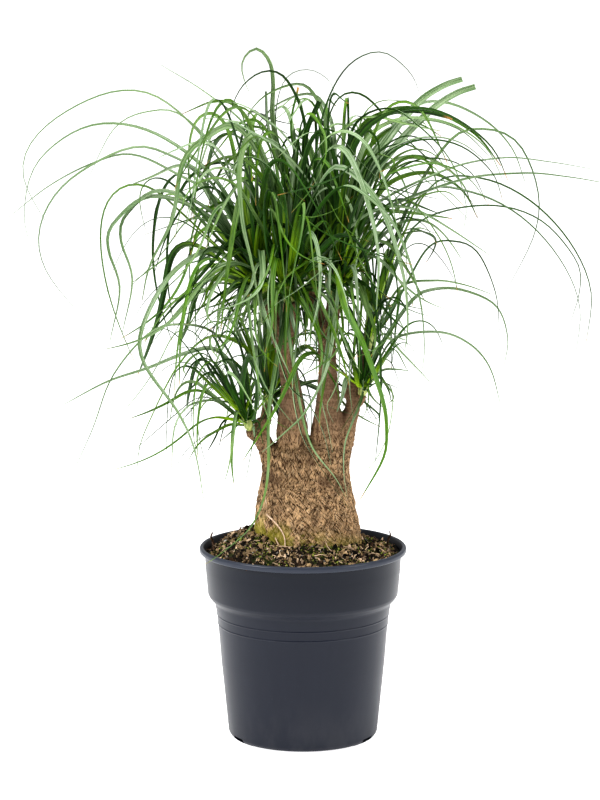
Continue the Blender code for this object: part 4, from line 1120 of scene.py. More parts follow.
ARCHES = {
    "rosette_upper_left": (
        Arch(5.0, 1, ((-85, -10, 653), (-151, -20, 733), (-214, -25, 746), (-289, -30, 707),
                      (-314, -30, 654), (-278, -20, 579))),
        Arch(5.5, 1, ((-85, 0, 635), (-153, 0, 699), (-224, 0, 712), (-287, 5, 671),
                      (-305, 10, 608), (-292, 15, 552))),
        Arch(7.0, 1, ((-96, -30, 639), (-148, -50, 680), (-192, -60, 688), (-258, -70, 652),
                      (-289, -70, 604), (-285, -60, 552), (-239, -50, 490))),
        Arch(3.5, 1, ((-93, 20, 617), (-152, 30, 656), (-201, 35, 676), (-246, 40, 665),
                      (-296, 45, 639), (-347, 50, 600))),
        Arch(7.5, 1, ((-99, -40, 627), (-137, -60, 667), (-167, -70, 672), (-193, -80, 629),
                      (-222, -80, 589), (-243, -80, 534), (-252, -75, 475))),
        Arch(6.0, 1, ((-99, -20, 608), (-160, -35, 637), (-198, -45, 610), (-204, -45, 582),
                      (-192, -40, 537), (-204, -35, 477))),
        Arch(6.0, 1, ((-85, -20, 574), (-133, -40, 557), (-164, -50, 504), (-167, -50, 459),
                      (-128, -45, 399), (-110, -42, 355), (-100, -40, 296))),
        Arch(7.5, 1, ((-81, 15, 589), (-111, 25, 622), (-127, 30, 587), (-129, 32, 533),
                      (-131, 30, 467))),
        Arch(9.0, 1, ((-57, -40, 610), (-67, -60, 633), (-74, -72, 604), (-83, -76, 546),
                      (-90, -76, 484))),
        Arch(7.0, 1, ((-51, -20, 535), (-63, -30, 561), (-77, -38, 582), (-96, -44, 592),
                      (-114, -48, 587), (-128, -50, 567), (-134, -50, 540))),
        Arch(6.0, 1, ((-47, 0, 538), (-55, 4, 572), (-69, 6, 606), (-87, 8, 620), (-105, 10, 614),
                      (-119, 12, 591), (-128, 14, 560))),
    ),
    "rosette_centre": (
        Arch(9.0, 1, ((-39, -30, 648), (-72, -60, 708), (-106, -75, 698), (-132, -85, 671),
                      (-144, -90, 609), (-169, -90, 558), (-178, -88, 519))),
        Arch(10.0, 1, ((-35, -40, 649), (-55, -75, 701), (-67, -90, 681), (-70, -96, 650),
                       (-66, -98, 603), (-56, -98, 559), (-45, -95, 492))),
        Arch(10.0, 1, ((-4, -35, 626), (21, -60, 686), (38, -70, 695), (55, -82, 667),
                       (70, -90, 619), (77, -92, 576), (75, -92, 520))),
        Arch(9.5, 1, ((2, -50, 610), (27, -80, 660), (48, -90, 663), (84, -100, 625),
                      (109, -108, 552), (115, -108, 495), (112, -106, 467))),
        Arch(7.5, 1, ((-17, -50, 577), (-13, -78, 560), (-17, -92, 497), (-23, -94, 420),
                      (-46, -92, 363), (-56, -90, 317), (-64, -88, 277))),
        Arch(8.5, 1, ((-25, -45, 582), (-39, -88, 519), (-19, -96, 431), (6, -94, 403),
                      (22, -90, 372), (31, -86, 334))),
        Arch(6.0, 1, ((-11, -40, 570), (-7, -75, 484), (-12, -80, 423), (-5, -80, 378),
                      (8, -78, 347), (53, -76, 280))),
        Arch(4.0, 1, ((-42, 0, 652), (-62, 10, 711), (-109, 20, 754), (-160, 25, 785))),
        Arch(10.0, 1, ((-25, -15, 555), (-11, -20, 589), (-5, -24, 626), (-9, -26, 657), (-22, -26, 680),
                      (-40, -26, 693), (-58, -26, 691), (-72, -26, 673), (-81, -26, 648))),
        Arch(9.0, 1, ((-26, -10, 559), (-22, -14, 597), (-19, -18, 631), (-26, -20, 659), (-40, -22, 682),
                      (-56, -24, 686), (-72, -26, 677), (-85, -28, 657), (-94, -30, 626))),
        Arch(8.0, 1, ((-31, -5, 567), (-32, -8, 602), (-40, -10, 636), (-55, -12, 661), (-72, -14, 672),
                      (-90, -16, 672), (-109, -18, 661), (-120, -20, 637), (-127, -20, 603))),
        Arch(7.0, 1, ((-35, -20, 574), (-47, -30, 609), (-60, -38, 638), (-76, -44, 656), (-94, -48, 663),
                      (-112, -50, 654), (-123, -50, 630), (-130, -50, 599))),
        Arch(6.0, 1, ((-3, -45, 558), (3, -70, 591), (12, -88, 589), (18, -96, 562), (18, -98, 529),
                      (13, -96, 500), (1, -92, 468))),
        Arch(5.0, 1, ((-3, -20, 555), (3, -50, 585), (12, -66, 601), (20, -76, 604), (26, -84, 590),
                      (28, -88, 573), (24, -88, 555), (19, -86, 537))),
    ),
    "rosette_back": (
        Arch(8.5, 1, ((-15, 40, 621), (-34, 38, 708), (-34, 30, 753), (-38, 22, 779),
                      (-53, 16, 794), (-68, 10, 781), (-68, 6, 764), (-61, 2, 745))),
        Arch(8.0, 1, ((3, 20, 622), (4, 5, 708), (-15, -5, 759), (-39, -10, 770),
                      (-64, -15, 755), (-78, -18, 728), (-80, -20, 708))),
        Arch(5.0, 1, ((-15, 35, 633), (-22, 45, 707), (-7, 50, 755), (19, 50, 768),
                      (45, 50, 755), (52, 50, 729), (49, 48, 708))),
        Arch(6.0, 1, ((66, 50, 655), (123, 60, 723), (164, 65, 732), (211, 65, 711),
                      (242, 62, 679), (257, 60, 641))),
        Arch(3.5, 1, ((-78, 30, 656), (-135, 40, 715), (-172, 45, 723), (-216, 50, 704),
                      (-250, 55, 642))),
        Arch(10.0, 0.5, ((-30, 24, 645), (-48, 28, 702), (-55, 30, 746))),
        Arch(9.0, 0.5, ((-19, 44, 644), (-39, 50, 701), (-42, 52, 745))),
        Arch(8.0, 0.5, ((-3, 30, 645), (-13, 30, 704), (-5, 28, 750))),
        Arch(8.5, 0.5, ((12, 16, 634), (15, 14, 680), (14, 12, 714))),
        Arch(9.0, 1, ((10, 20, 554), (13, 18, 594), (10, 15, 634), (1, 12, 663), (-13, 10, 680),
                      (-29, 8, 685), (-43, 6, 671), (-52, 4, 649))),
        Arch(8.0, 1, ((15, 30, 553), (22, 30, 593), (29, 28, 634), (36, 26, 666), (46, 24, 680),
                      (58, 22, 670), (66, 20, 645))),
        Arch(8.0, 1, ((18, 40, 550), (32, 44, 592), (49, 46, 627), (69, 48, 655), (90, 50, 664),
                      (109, 50, 651), (121, 50, 623))),
        Arch(8.0, 1, ((8, 32, 550), (-3, 36, 587), (-18, 40, 621), (-36, 42, 646), (-60, 42, 658),
                      (-81, 40, 649), (-94, 38, 624))),
    ),
    "rosette_upper_right": (
        Arch(7.5, 1, ((15, 5, 635), (21, 5, 712), (47, 0, 770), (86, -5, 790),
                      (120, -8, 767), (133, -10, 737))),
        Arch(7.0, 1, ((31, 15, 623), (28, 20, 702), (11, 20, 744), (-9, 15, 754),
                      (-43, 10, 741), (-65, 8, 718))),
        Arch(6.0, 1, ((17, -15, 636), (-15, -30, 691), (-48, -35, 721), (-79, -38, 735),
                      (-110, -40, 733))),
        Arch(10.0, 0.6, ((63, 20, 634), (95, 30, 688), (131, 35, 732), (159, 38, 751),
                         (182, 40, 759))),
        Arch(8.0, 1, ((44, -15, 636), (58, -35, 711), (96, -50, 733), (129, -60, 714),
                      (164, -70, 676), (181, -75, 629), (178, -75, 596))),
        Arch(9.0, 1, ((47, 30, 633), (64, 34, 700), (96, 36, 722), (127, 36, 726),
                      (162, 34, 718), (199, 30, 695), (226, 26, 661))),
        Arch(8.0, 1, ((51, 12, 623), (73, 16, 691), (105, 20, 713), (141, 22, 715),
                      (177, 22, 705), (210, 20, 680), (230, 16, 641))),
        Arch(9.0, 1, ((54, -12, 602), (79, -16, 670), (111, -20, 696), (145, -22, 703),
                      (179, -22, 695), (211, -20, 670))),
        Arch(8.0, 1, ((56, -30, 592), (87, -38, 655), (121, -44, 678), (155, -46, 681),
                      (187, -46, 665), (209, -44, 636))),
        Arch(8.0, 1, ((59, 20, 577), (92, 26, 634), (127, 30, 656), (162, 32, 656),
                      (192, 32, 636), (208, 30, 606))),
        Arch(7.0, 1, ((66, -20, 608), (153, -40, 658), (219, -50, 674), (273, -55, 670),
                      (326, -60, 661))),
        Arch(9.5, 1, ((39, -30, 556), (48, -60, 525), (70, -80, 490), (91, -92, 430),
                      (95, -95, 395), (91, -95, 366), (66, -92, 320))),
        Arch(6.5, 1, ((41, -40, 548), (34, -75, 484), (25, -80, 438), (3, -82, 394),
                      (-15, -84, 375), (-46, -86, 348))),
        Arch(8.0, 1, ((45, -10, 545), (54, -10, 585), (62, -8, 625), (75, -4, 664), (94, 0, 686),
                      (117, 4, 696), (140, 8, 689), (156, 10, 669))),
        Arch(8.0, 1, ((42, -20, 540), (49, -24, 580), (56, -26, 620), (67, -28, 657), (85, -30, 680),
                      (108, -32, 689), (131, -34, 680), (147, -34, 655))),
        Arch(7.0, 1, ((40, 5, 538), (43, 8, 578), (46, 10, 618), (57, 12, 657), (75, 14, 689),
                      (101, 16, 710), (130, 18, 714), (156, 20, 700))),
        Arch(8.0, 1, ((48, -20, 535), (60, -30, 564), (78, -38, 593), (104, -42, 616), (132, -44, 631),
                      (160, -44, 636), (180, -44, 620))),
    ),
    "rosette_right_back": (
        Arch(8.0, 1, ((114, 30, 599), (166, 30, 688), (207, 30, 703), (246, 28, 687),
                      (269, 25, 634), (265, 20, 582), (227, 15, 506))),
        Arch(7.0, 1, ((100, 10, 537), (131, 0, 599), (205, -10, 619), (266, -20, 604),
                      (308, -25, 558), (313, -25, 524), (303, -25, 487))),
        Arch(7.5, 1, ((102, 20, 554), (147, 20, 640), (203, 20, 648), (260, 20, 622),
                      (306, 15, 574), (330, 10, 518), (324, 5, 453))),
        Arch(8.0, 1, ((105, 0, 510), (138, -15, 573), (168, -20, 582), (194, -25, 569),
                      (214, -28, 524), (219, -28, 479))),
    ),
    "rosette_low_right": (
        Arch(5.0, 1, ((85, -15, 477), (109, -30, 527), (147, -40, 536), (180, -45, 532),
                      (213, -50, 521))),
        Arch(5.0, 1, ((90, 0, 458), (125, 5, 509), (150, 10, 521), (183, 10, 520),
                      (221, 10, 502), (235, 8, 465), (230, 5, 428))),
        Arch(4.5, 1, ((82, -20, 434), (104, -35, 470), (152, -50, 479), (187, -55, 466),
                      (210, -58, 439), (223, -60, 394))),
        Arch(4.5, 1, ((79, 10, 439), (98, 20, 463), (117, 25, 445), (154, 30, 406))),
        Arch(6.0, 1, ((66, -14, 417), (64, -20, 452), (58, -28, 490), (48, -38, 510), (35, -46, 508),
                      (28, -50, 490))),
        Arch(6.0, 1, ((69, -10, 419), (72, -14, 458), (78, -20, 494), (90, -28, 513), (106, -34, 516),
                      (118, -38, 498))),
        Arch(5.5, 1, ((63, -18, 415), (55, -30, 449), (45, -42, 473), (33, -52, 479), (21, -58, 464))),
    ),
    "rosette_low_left": (
        Arch(6.5, 1, ((-72, -25, 427), (-101, -35, 477), (-148, -45, 487), (-180, -50, 472),
                      (-216, -55, 427), (-238, -58, 369), (-268, -60, 303))),
        Arch(5.5, 1, ((-74, -10, 421), (-99, -12, 454), (-132, -15, 451), (-177, -20, 434),
                      (-223, -25, 419), (-273, -30, 393))),
        Arch(4.0, 1, ((-68, -25, 389), (-85, -35, 397), (-111, -45, 400), (-132, -52, 393),
                      (-146, -55, 366), (-149, -55, 302))),
        Arch(5.5, 1, ((-61, -20, 388), (-63, -26, 416), (-68, -34, 450), (-76, -42, 473), (-88, -48, 479),
                      (-100, -50, 461))),
        Arch(5.5, 1, ((-57, -18, 392), (-56, -22, 430), (-55, -28, 463), (-50, -36, 482), (-40, -44, 485),
                      (-31, -48, 467))),
        Arch(5.0, 1, ((-64, -22, 386), (-74, -34, 417), (-84, -46, 444), (-97, -56, 457),
                      (-111, -62, 449), (-121, -64, 422))),
        Arch(5.0, 1, ((-60, -10, 389), (-64, -4, 427), (-75, 0, 461), (-93, 4, 482), (-112, 8, 479),
                      (-126, 8, 456))),
    ),
    "rosette_left_back": (
        Arch(5.5, 1, ((-56, 30, 442), (-102, 40, 464), (-143, 45, 432), (-179, 45, 364),
                      (-193, 42, 323), (-195, 40, 263))),
    ),
}

Blade = namedtuple("Blade", "path width twist roll kept segments")


def heart_frame(name):
    """Where a rosette sits on its spur, and which way it points."""
    *_, before, last = SEATS[name]
    end = Vector(last[:3])
    axis = (end - Vector(before[:3])).normalized()
    return end + axis * SEAT_GAP, axis


def heart(rosette, sides=SPUR_SIDES):
    """The tight sheath that the leaves grow from, as a slim bulb on its seat."""
    seat, axis = heart_frame(rosette.name)
    radius = rosette.heart
    height = radius * 4.6
    shape = lathe(
        (
            (0, 0),
            (radius * 0.70, 0),
            (radius, height * 0.20),
            (radius * 0.92, height * 0.55),
            (radius * 0.55, height * 0.85),
            (0, height),
        ),
        sides,
    )
    turn = UP.rotation_difference(axis)
    for corner in shape.verts:
        corner.co = seat + turn @ corner.co
    return shape


def grown_path(root, start, length, droop, onset, finish, sway, curl):
    """The centre line of a leaf that rises along start and bends over under its own weight.

    droop is its angle from the vertical once it has bent over, and the bend lies between
    onset and finish, as shares of its length. sway turns its heading on the way, and curl
    turns its tip inward, or outward where it is negative. The heading wavers a little.
    """
    rise = max(start.angle(UP), 0.02)
    heading = math.atan2(start.y, start.x)
    pull = math.log(math.tan(droop / 2) / math.tan(rise / 2))
    points = [root.copy()]
    for step in range(PATH_STEPS):
        share = (step + 0.5) / PATH_STEPS
        bend = eased((share - onset) / (finish - onset))
        angle = 2 * math.atan(math.tan(rise / 2) * math.exp(pull * bend))
        angle += curl * eased((share - 0.45) / 0.55)
        turned = heading + sway * (share ** 1.6 + 0.16 * math.sin(7 * share + 4 * sway))
        flat = math.sin(angle)
        direction = Vector((flat * math.cos(turned), flat * math.sin(turned), math.cos(angle)))
        points.append(points[-1] + direction * (length / PATH_STEPS))
    return points


def arched_path(root, places):
    """The centre line of a leaf from its root through the given places, in even steps."""
    line = smooth_line([root, *places], 12)
    reached = [0.0]
    for before, after in zip(line, line[1:]):
        reached.append(reached[-1] + (after - before).length)
    path = []
    piece = 0
    for step in range(PATH_STEPS + 1):
        goal = reached[-1] * step / PATH_STEPS
        while piece < len(line) - 2 and reached[piece + 1] < goal:
            piece += 1
        part = (goal - reached[piece]) / (reached[piece + 1] - reached[piece])
        path.append(line[piece].lerp(line[piece + 1], part))
    return path


def arch(rosette, index, attempt):
    """One of the leaves that shape the outline, moved aside a little with each attempt."""
    draw = random.Random(f"{rosette.name} arch {index} {attempt}")
    shape = ARCHES[rosette.name][index]
    seat, axis = heart_frame(rosette.name)
    root = seat + axis * rosette.heart * draw.uniform(1.6, 3.0)
    aside = Vector((draw.uniform(-1, 1), draw.uniform(-3, 3), draw.uniform(-1, 0.2)))
    far = min(attempt ** 0.7, 8)
    places = []
    for order, place in enumerate(shape.places, 1):
        places.append((Vector(place) + aside * min(order, 3) * far) * MM)
    path = arched_path(root, places)
    showing = math.copysign(draw.uniform(0.5, 1.1), -path[-1].x)
    return Blade(path, shape.width * MM, draw.uniform(-0.8, 0.8), showing, shape.kept, ARCH_SEGMENTS)


def hem(x, lowest):
    """How low a leaf may hang here: the crown's edge climbs towards its right."""
    return lowest + min(RIGHT_CLIMB * max(x - CROWN_FOOT, 0), HEM_RISE)


def within(path, lowest, reach):
    """Whether the leaf stays above the crown's hem, and inside that share of its spread and height."""
    tip = path[-1]
    side, front = SPREAD
    tall = max(point.z for point in path) > HIGHEST
    right = [point for point in path if point.x > CROWN_FOOT]
    low = tip.z < lowest or any(point.z < hem(point.x, lowest) for point in right)
    return not low and not tall and math.hypot(tip.x / side, tip.y / front) <= reach


def rightward(seat, around):
    """0 to 1: how far a leaf of the right-hand rosettes heads to the right, where leaves stand up."""
    return max(0.0, math.cos(around)) * eased((seat.x + 0.01) / 0.03)


def leaning(axis, around, lean):
    """The direction that leans from the axis by the angle lean, with the heading around."""
    out = Vector((math.cos(around), math.sin(around), 0))
    out = (out - axis * out.dot(axis)).normalized()
    return axis * math.cos(lean) + out * math.sin(lean)


def fitted_path(root, start, length, bends, lowest, reach):
    """The line that grown_path gives, made shorter until it stays within the crown."""
    path = grown_path(root, start, length, *bends)
    while not within(path, lowest, reach):
        length *= SHORTER
        path = grown_path(root, start, length, *bends)
    return path


def leaf(rosette, index, attempt):
    """One leaf of a rosette: its place in the spiral fixes its age, and its own draw the rest."""
    draw = random.Random(f"{rosette.name} {index} {attempt}")
    seat, axis = heart_frame(rosette.name)
    youth = (index + 0.5) / rosette.count
    around = index * GOLDEN_ANGLE + draw.uniform(-0.25, 0.25) * (1 + attempt / 6)
    right = rightward(seat, around)
    lean = math.radians(64 - 52 * youth ** 0.50 + draw.uniform(-12, 12)) * (1 - RIGHT_LEAN * right)
    root = seat + axis * rosette.heart * (0.9 + 2.6 * youth)
    grown = 0.74 + 0.30 * math.sin(math.pi * youth ** 0.8) - 0.34 * youth ** 3
    length = rosette.length * grown * draw.uniform(0.68, 1.10)
    droop = math.radians(172 - 60 * draw.random() ** 1.3 - 12 * youth ** 2 - RIGHT_DROOP * right)
    onset = draw.uniform(0.06, 0.28) + 0.18 * youth ** 0.8 + RIGHT_ONSET * right
    finish = onset + draw.uniform(0.22, 0.46)
    sway = draw.uniform(-1.6, 1.6)
    curl = max(draw.uniform(-1.1, 0.8), FLATTEST_TIP - droop)
    lowest = min(draw.uniform(*LOWEST), seat.z - draw.uniform(*BELOW_SEAT))
    reach = draw.uniform(0.66, 1)
    bends = (droop, onset, finish, sway, curl)
    path = fitted_path(root, leaning(axis, around, lean), length, bends, lowest, reach)
    width = rosette.width * draw.uniform(0.52, 1.05)
    twist = draw.uniform(-1.6, 1.6)
    return Blade(path, width, twist, draw.uniform(-0.7, 0.7), 1, BLADE_SEGMENTS)


def blade_width(share):
    """A leaf's width along its length, as a share of its widest: a slow taper to a thread."""
    return (0.40 + 0.60 * eased(share / 0.14)) * (1 - share ** 1.5) ** 0.9 + 0.10


def stations(path, segments):
    """Which points of the path carry a cross-section: more where it bends."""
    reached = [0.0]
    for index in range(1, len(path) - 1):
        before = path[index] - path[index - 1]
        after = path[index + 1] - path[index]
        reached.append(reached[-1] + 1 / len(path) + 0.55 * before.angle(after))
    reached.append(reached[-1] + 1 / len(path))
    chosen = [0]
    for part in range(1, segments):
        goal = reached[-1] * part / segments
        nearest = min(range(len(path)), key=lambda index: abs(reached[index] - goal))
        chosen.append(max(nearest, chosen[-1] + 1))
    chosen.append(len(path) - 1)
    return chosen


def blade_section(blade, share, along, side):
    """The blade there: the direction across it, the one out of its upper face, half its width."""
    over = side.cross(along)
    turn = blade.roll + blade.twist * share
    across = side * math.cos(turn) + over * math.sin(turn)
    half = blade.width * blade_width(share * blade.kept) / 2
    return across, across.cross(along), half


def blade_shape(blade, first, margin):
    """A closed keeled blade with a three-cornered section, from the path's point first on."""
    frames = carried_frames(blade.path)
    last = len(blade.path) - 1
    shape = bmesh.new()
    rings = []
    crossed = [index for index in stations(blade.path, blade.segments) if index > first]
    for index in (first, *crossed):
        across, over, half = blade_section(blade, index / last, *frames[index])
        half += margin
        keel = max(0.24 * half, 0.0007) + 2 * margin
        centre = blade.path[index] + over * (margin + 0.0002)
        corners = (centre - across * half, centre - over * keel, centre + across * half)
        rings.append([shape.verts.new(corner) for corner in corners])
    for low, high in zip(rings, rings[1:]):
        for here, after in ((0, 1), (1, 2), (0, 2)):
            shape.faces.new((low[here], low[after], high[after]))
            shape.faces.new((low[here], high[after], high[here]))
    shape.faces.new(rings[0])
    shape.faces.new(rings[-1])
    bmesh.ops.recalc_face_normals(shape, faces=shape.faces)
    return shape


class Canopy:
    """Every leaf that has found a clear place."""

    def __init__(self, solids):
        self.solids = solids
        self.full = {rosette.name: [tree_of(heart(rosette))] for rosette in ROSETTES}
        self.free = {rosette.name: [] for rosette in ROSETTES}

    def takes(self, name, blade, steps=BUNDLE_STEPS, clearance=CLEARANCE):
        """Adds the blade to its rosette, unless it would meet another piece or hang too low."""
        half, top = CLEAR_FRONT
        for point in blade.path:
            hides_trunk = point.y < 0 and abs(point.x) < half and point.z < top
            if hides_trunk or point.z < LOWEST_TIP:
                return False
        whole = tree_of(blade_shape(blade, 0, clearance))
        others = list(self.solids)
        for owner, trees in self.full.items():
            if owner != name:
                others += trees
        if any(whole.overlap(other) for other in others):
            return False
        free = tree_of(blade_shape(blade, steps, clearance))
        if any(free.overlap(other) for other in self.free[name]):
            return False
        self.full[name].append(whole)
        self.free[name].append(free)
        return True


def grow(solids):
    """The leaves of every rosette, by its name."""
    canopy = Canopy(solids)
    leaves = {rosette.name: [] for rosette in ROSETTES}
    wanted = []
    for rosette in reversed(ROSETTES):
        wanted += [(arch, rosette, index) for index in range(len(ARCHES[rosette.name]))]
    for rosette in ROSETTES:
        wanted += [(leaf, rosette, index) for index in range(rosette.count)]
    for make, rosette, index in wanted:
        for attempt in range(TRIES):
            blade = make(rosette, index, attempt)
            if canopy.takes(rosette.name, blade):
                leaves[rosette.name].append(blade)
                break
    return canopy, leaves


# How single filling leaves part from the spiral: a heading, and the ranges that each one draws
# from. heading and veer are in radians, length in metres, lean and droop in degrees, onset and
# span are shares of the leaf's length, and width is a share of the rosette's leaf width. None
# leaves what the spiral gives.
Habit = namedtuple("Habit", "heading veer length lean droop onset span width")

FORWARD = Habit(
    -math.pi / 2, (-1.4, 1.4), (0.10, 0.22), (40, 95), (130, 170), (0.02, 0.20), (0.30, 0.60), None
)
UPRIGHT = Habit(
    None, None, (0.17, 0.31), (4, 34), (100, 150), (0.35, 0.60), (0.28, 0.40), (0.70, 1.05)
)
FAR_RIGHT = Habit(
    0, (-0.9, 0.7), (0.26, 0.42), (20, 46), (95, 140), (0.20, 0.40), (0.40, 0.60), (0.60, 1.00)
)
LEFTWARD = Habit(
    math.pi, (-1.3, 1.3), (0.11, 0.20), (2, 26), (100, 150), (0.40, 0.62), (0.28, 0.38), (0.65, 1.00)
)


def habit_of(rosette, seat, index):
    """The habit of a filling leaf, or None where it follows the spiral.

    On the tall rosettes, of every five one falls forward over the stems and one stands upright,
    and on those of the right-hand stem one arches far out to the right. On the low left ones,
    every other leaf stands up and bends over to the left.
    """
    if rosette.length <= TALL:
        return LEFTWARD if seat.x < 0 and index % 2 == 0 else None
    turns = {0: FORWARD, 2: UPRIGHT}
    if seat.x > 0:
        turns[4] = FAR_RIGHT
    return turns.get(index % 5)


def filler(rosette, index, attempt):
    """One of the many leaves that fill the crown out: narrower and less orderly."""
    draw = random.Random(f"{rosette.name} filler {index} {attempt}")
    seat, axis = heart_frame(rosette.name)
    youth = draw.random() ** 1.2
    around = index * GOLDEN_ANGLE + draw.uniform(-0.6, 0.6)
    length = rosette.length * draw.uniform(0.45, 1.0)
    right = rightward(seat, around)
    lean = math.radians(66 - 54 * youth ** 0.50 + draw.uniform(-12, 14)) * (1 - RIGHT_LEAN * right)
    droop = math.radians(172 - 66 * draw.random() ** 1.2 - RIGHT_DROOP * right)
    onset = draw.uniform(0.04, 0.28) + 0.16 * youth + RIGHT_ONSET * right
    finish = onset + draw.uniform(0.20, 0.48)
    width = rosette.width * draw.uniform(0.36, 0.84)
    habit = habit_of(rosette, seat, index)
    if habit:
        if habit.veer:
            around = habit.heading + draw.uniform(*habit.veer)
        length = draw.uniform(*habit.length)
        lean = math.radians(draw.uniform(*habit.lean))
        droop = math.radians(draw.uniform(*habit.droop))
        onset = draw.uniform(*habit.onset)
        finish = onset + draw.uniform(*habit.span)
        if habit.width:
            width = rosette.width * draw.uniform(*habit.width)
    root = seat + axis * rosette.heart * (0.6 + 3.0 * youth)
    sway = draw.uniform(-2.0, 2.0)
    curl = max(draw.uniform(-1.2, 1.0), FLATTEST_TIP - droop)
    lowest = min(draw.uniform(*FILL_LOWEST), seat.z - draw.uniform(*BELOW_SEAT))
    reach = draw.uniform(0.35, 0.92)
    bends = (droop, onset, finish, sway, curl)
    path = fitted_path(root, leaning(axis, around, lean), length, bends, lowest, reach)
    return Blade(path, width, draw.uniform(-1.8, 1.8), draw.uniform(-0.9, 0.9), 1, BLADE_SEGMENTS)


# Further single leaves of the look alone, given as the arches are: those that cross in front of
# the crown, the stems and the trunk, and some that thicken the outline at the right.
TRAILING = {
    "rosette_centre": (
        Arch(5.0, 1, ((-20, -45, 500), (-25, -64, 470), (-30, -72, 448), (-37, -76, 405), (-39, -77, 375),
                      (-39, -76, 329), (-45, -74, 291), (-61, -74, 258), (-97, -75, 227), (-112, -64, 215))),
        Arch(5.0, 1, ((-17, -42, 505), (-16, -66, 480), (-11, -74, 448), (-4, -80, 404), (9, -80, 355),
                      (36, -74, 317), (48, -70, 294))),
        Arch(7.5, 1, ((-17, -40, 523), (-10, -62, 523), (0, -76, 514), (10, -84, 497), (18, -86, 479),
                      (21, -86, 456), (17, -84, 436))),
        Arch(3.0, 1, ((-8, -30, 536), (6, -58, 559), (-3, -80, 556), (-17, -90, 546), (-27, -94, 529),
                      (-36, -94, 507), (-57, -88, 477))),
        Arch(8.0, 0.6, ((-27, -45, 558), (-30, -58, 583), (-34, -62, 604), (-36, -62, 622))),
        Arch(5.0, 0.6, ((-12, -60, 601), (-4, -66, 628), (0, -68, 653), (3, -68, 673))),
        Arch(3.5, 1, ((-37, -50, 558), (-43, -66, 612), (-39, -74, 640), (-28, -84, 633), (-13, -94, 602),
                      (9, -100, 574), (41, -100, 558), (72, -94, 550))),
        Arch(2.6, 1, ((-12, -40, 557), (-15, -62, 589), (-7, -80, 611), (10, -90, 611), (30, -96, 617),
                      (44, -98, 626), (55, -98, 635))),
        Arch(5.0, 1, ((-3, -50, 538), (15, -74, 558), (36, -88, 566), (54, -96, 567), (65, -100, 562),
                      (70, -100, 546), (68, -96, 525))),
    ),
    "rosette_upper_right": (
        Arch(8.0, 1, ((45, -52, 639), (60, -58, 692), (87, -60, 719), (120, -60, 729), (154, -58, 724),
                      (188, -54, 705), (213, -50, 681), (228, -46, 649))),
        Arch(7.0, 1, ((55, 60, 637), (81, 64, 687), (114, 66, 708), (150, 66, 711), (187, 62, 697),
                      (219, 56, 666))),
        Arch(7.0, 1, ((55, -66, 612), (81, -72, 664), (114, -76, 691), (148, -76, 695), (181, -72, 684),
                      (210, -66, 657), (222, -60, 626))),
        Arch(6.5, 1, ((61, -6, 590), (94, -4, 645), (125, -2, 668), (160, 0, 670), (190, 0, 655),
                      (208, 0, 622))),
        Arch(6.0, 1, ((64, -60, 572), (98, -66, 626), (131, -70, 648), (163, -70, 648), (187, -68, 626),
                      (199, -64, 593))),
        Arch(9.0, 0.6, ((48, -20, 653), (67, -22, 704), (97, -24, 722), (133, -26, 724),
                      (167, -28, 717))),
        Arch(3.5, 1, ((34, -30, 520), (27, -62, 470), (20, -74, 415), (27, -76, 378), (33, -74, 346))),
        Arch(3.2, 1, ((42, -30, 536), (47, -60, 559), (33, -84, 561), (17, -98, 550), (-6, -102, 532),
                      (-31, -100, 515), (-57, -92, 491))),
        Arch(4.5, 1, ((44, -30, 513), (56, -54, 512), (53, -70, 517), (45, -80, 515), (36, -86, 506),
                      (28, -86, 490), (20, -82, 473))),
        Arch(4.5, 1, ((31, -30, 504), (27, -50, 502), (33, -64, 493), (43, -70, 485), (53, -72, 473),
                      (61, -70, 454))),
        Arch(2.8, 1, ((37, -40, 494), (40, -66, 470), (40, -76, 435), (34, -78, 415), (27, -76, 401),
                      (29, -76, 390), (34, -76, 380))),
        Arch(3.6, 1, ((43, -44, 501), (44, -66, 479), (35, -80, 458), (17, -86, 445), (0, -86, 435),
                      (-13, -82, 421))),
        Arch(3.0, 1, ((59, -50, 551), (77, -76, 580), (76, -90, 598), (61, -98, 586), (45, -102, 574),
                      (25, -104, 567), (2, -104, 561), (-19, -98, 547))),
    ),
    "rosette_upper_left": (
        Arch(4.5, 1, ((-42, -30, 534), (-46, -48, 556), (-53, -62, 552), (-58, -70, 533), (-69, -74, 516),
                      (-82, -74, 493), (-90, -70, 461))),
        Arch(4.5, 1, ((-51, -36, 525), (-64, -54, 534), (-73, -66, 526), (-71, -74, 507), (-61, -78, 489),
                      (-50, -78, 468), (-37, -74, 446))),
    ),
    "rosette_low_left": (
        Arch(3.6, 1, ((-78, -22, 396), (-106, -30, 400), (-120, -34, 377), (-112, -36, 330), (-92, -40, 292),
                      (-76, -42, 272))),
        Arch(4.0, 1, ((-51, -26, 389), (-37, -40, 405), (-21, -58, 421), (-7, -72, 442), (0, -78, 464),
                      (3, -78, 485))),
    ),
    "rosette_low_right": (
        Arch(3.2, 1, ((82, -20, 416), (97, -30, 417), (102, -36, 398), (95, -44, 358), (78, -52, 328),
                      (50, -56, 301))),
        Arch(3.0, 1, ((66, -20, 396), (56, -44, 376), (47, -60, 352), (46, -66, 320), (50, -68, 294))),
        Arch(5.0, 1, ((71, -14, 415), (76, -24, 432), (84, -32, 436), (89, -36, 422), (87, -38, 402))),
    ),
}


def trailing(rosette, index):
    """One of the single leaves of the look alone."""
    shape = TRAILING[rosette.name][index]
    draw = random.Random(f"{rosette.name} trailing {index}")
    seat, axis = heart_frame(rosette.name)
    root = seat + axis * rosette.heart * 2
    path = arched_path(root, [Vector(place) * MM for place in shape.places])
    roll = math.copysign(draw.uniform(0.2, 0.9), root.x - path[-1].x)
    return Blade(path, shape.width * MM, draw.uniform(-0.9, 0.9), roll, shape.kept, ARCH_SEGMENTS)


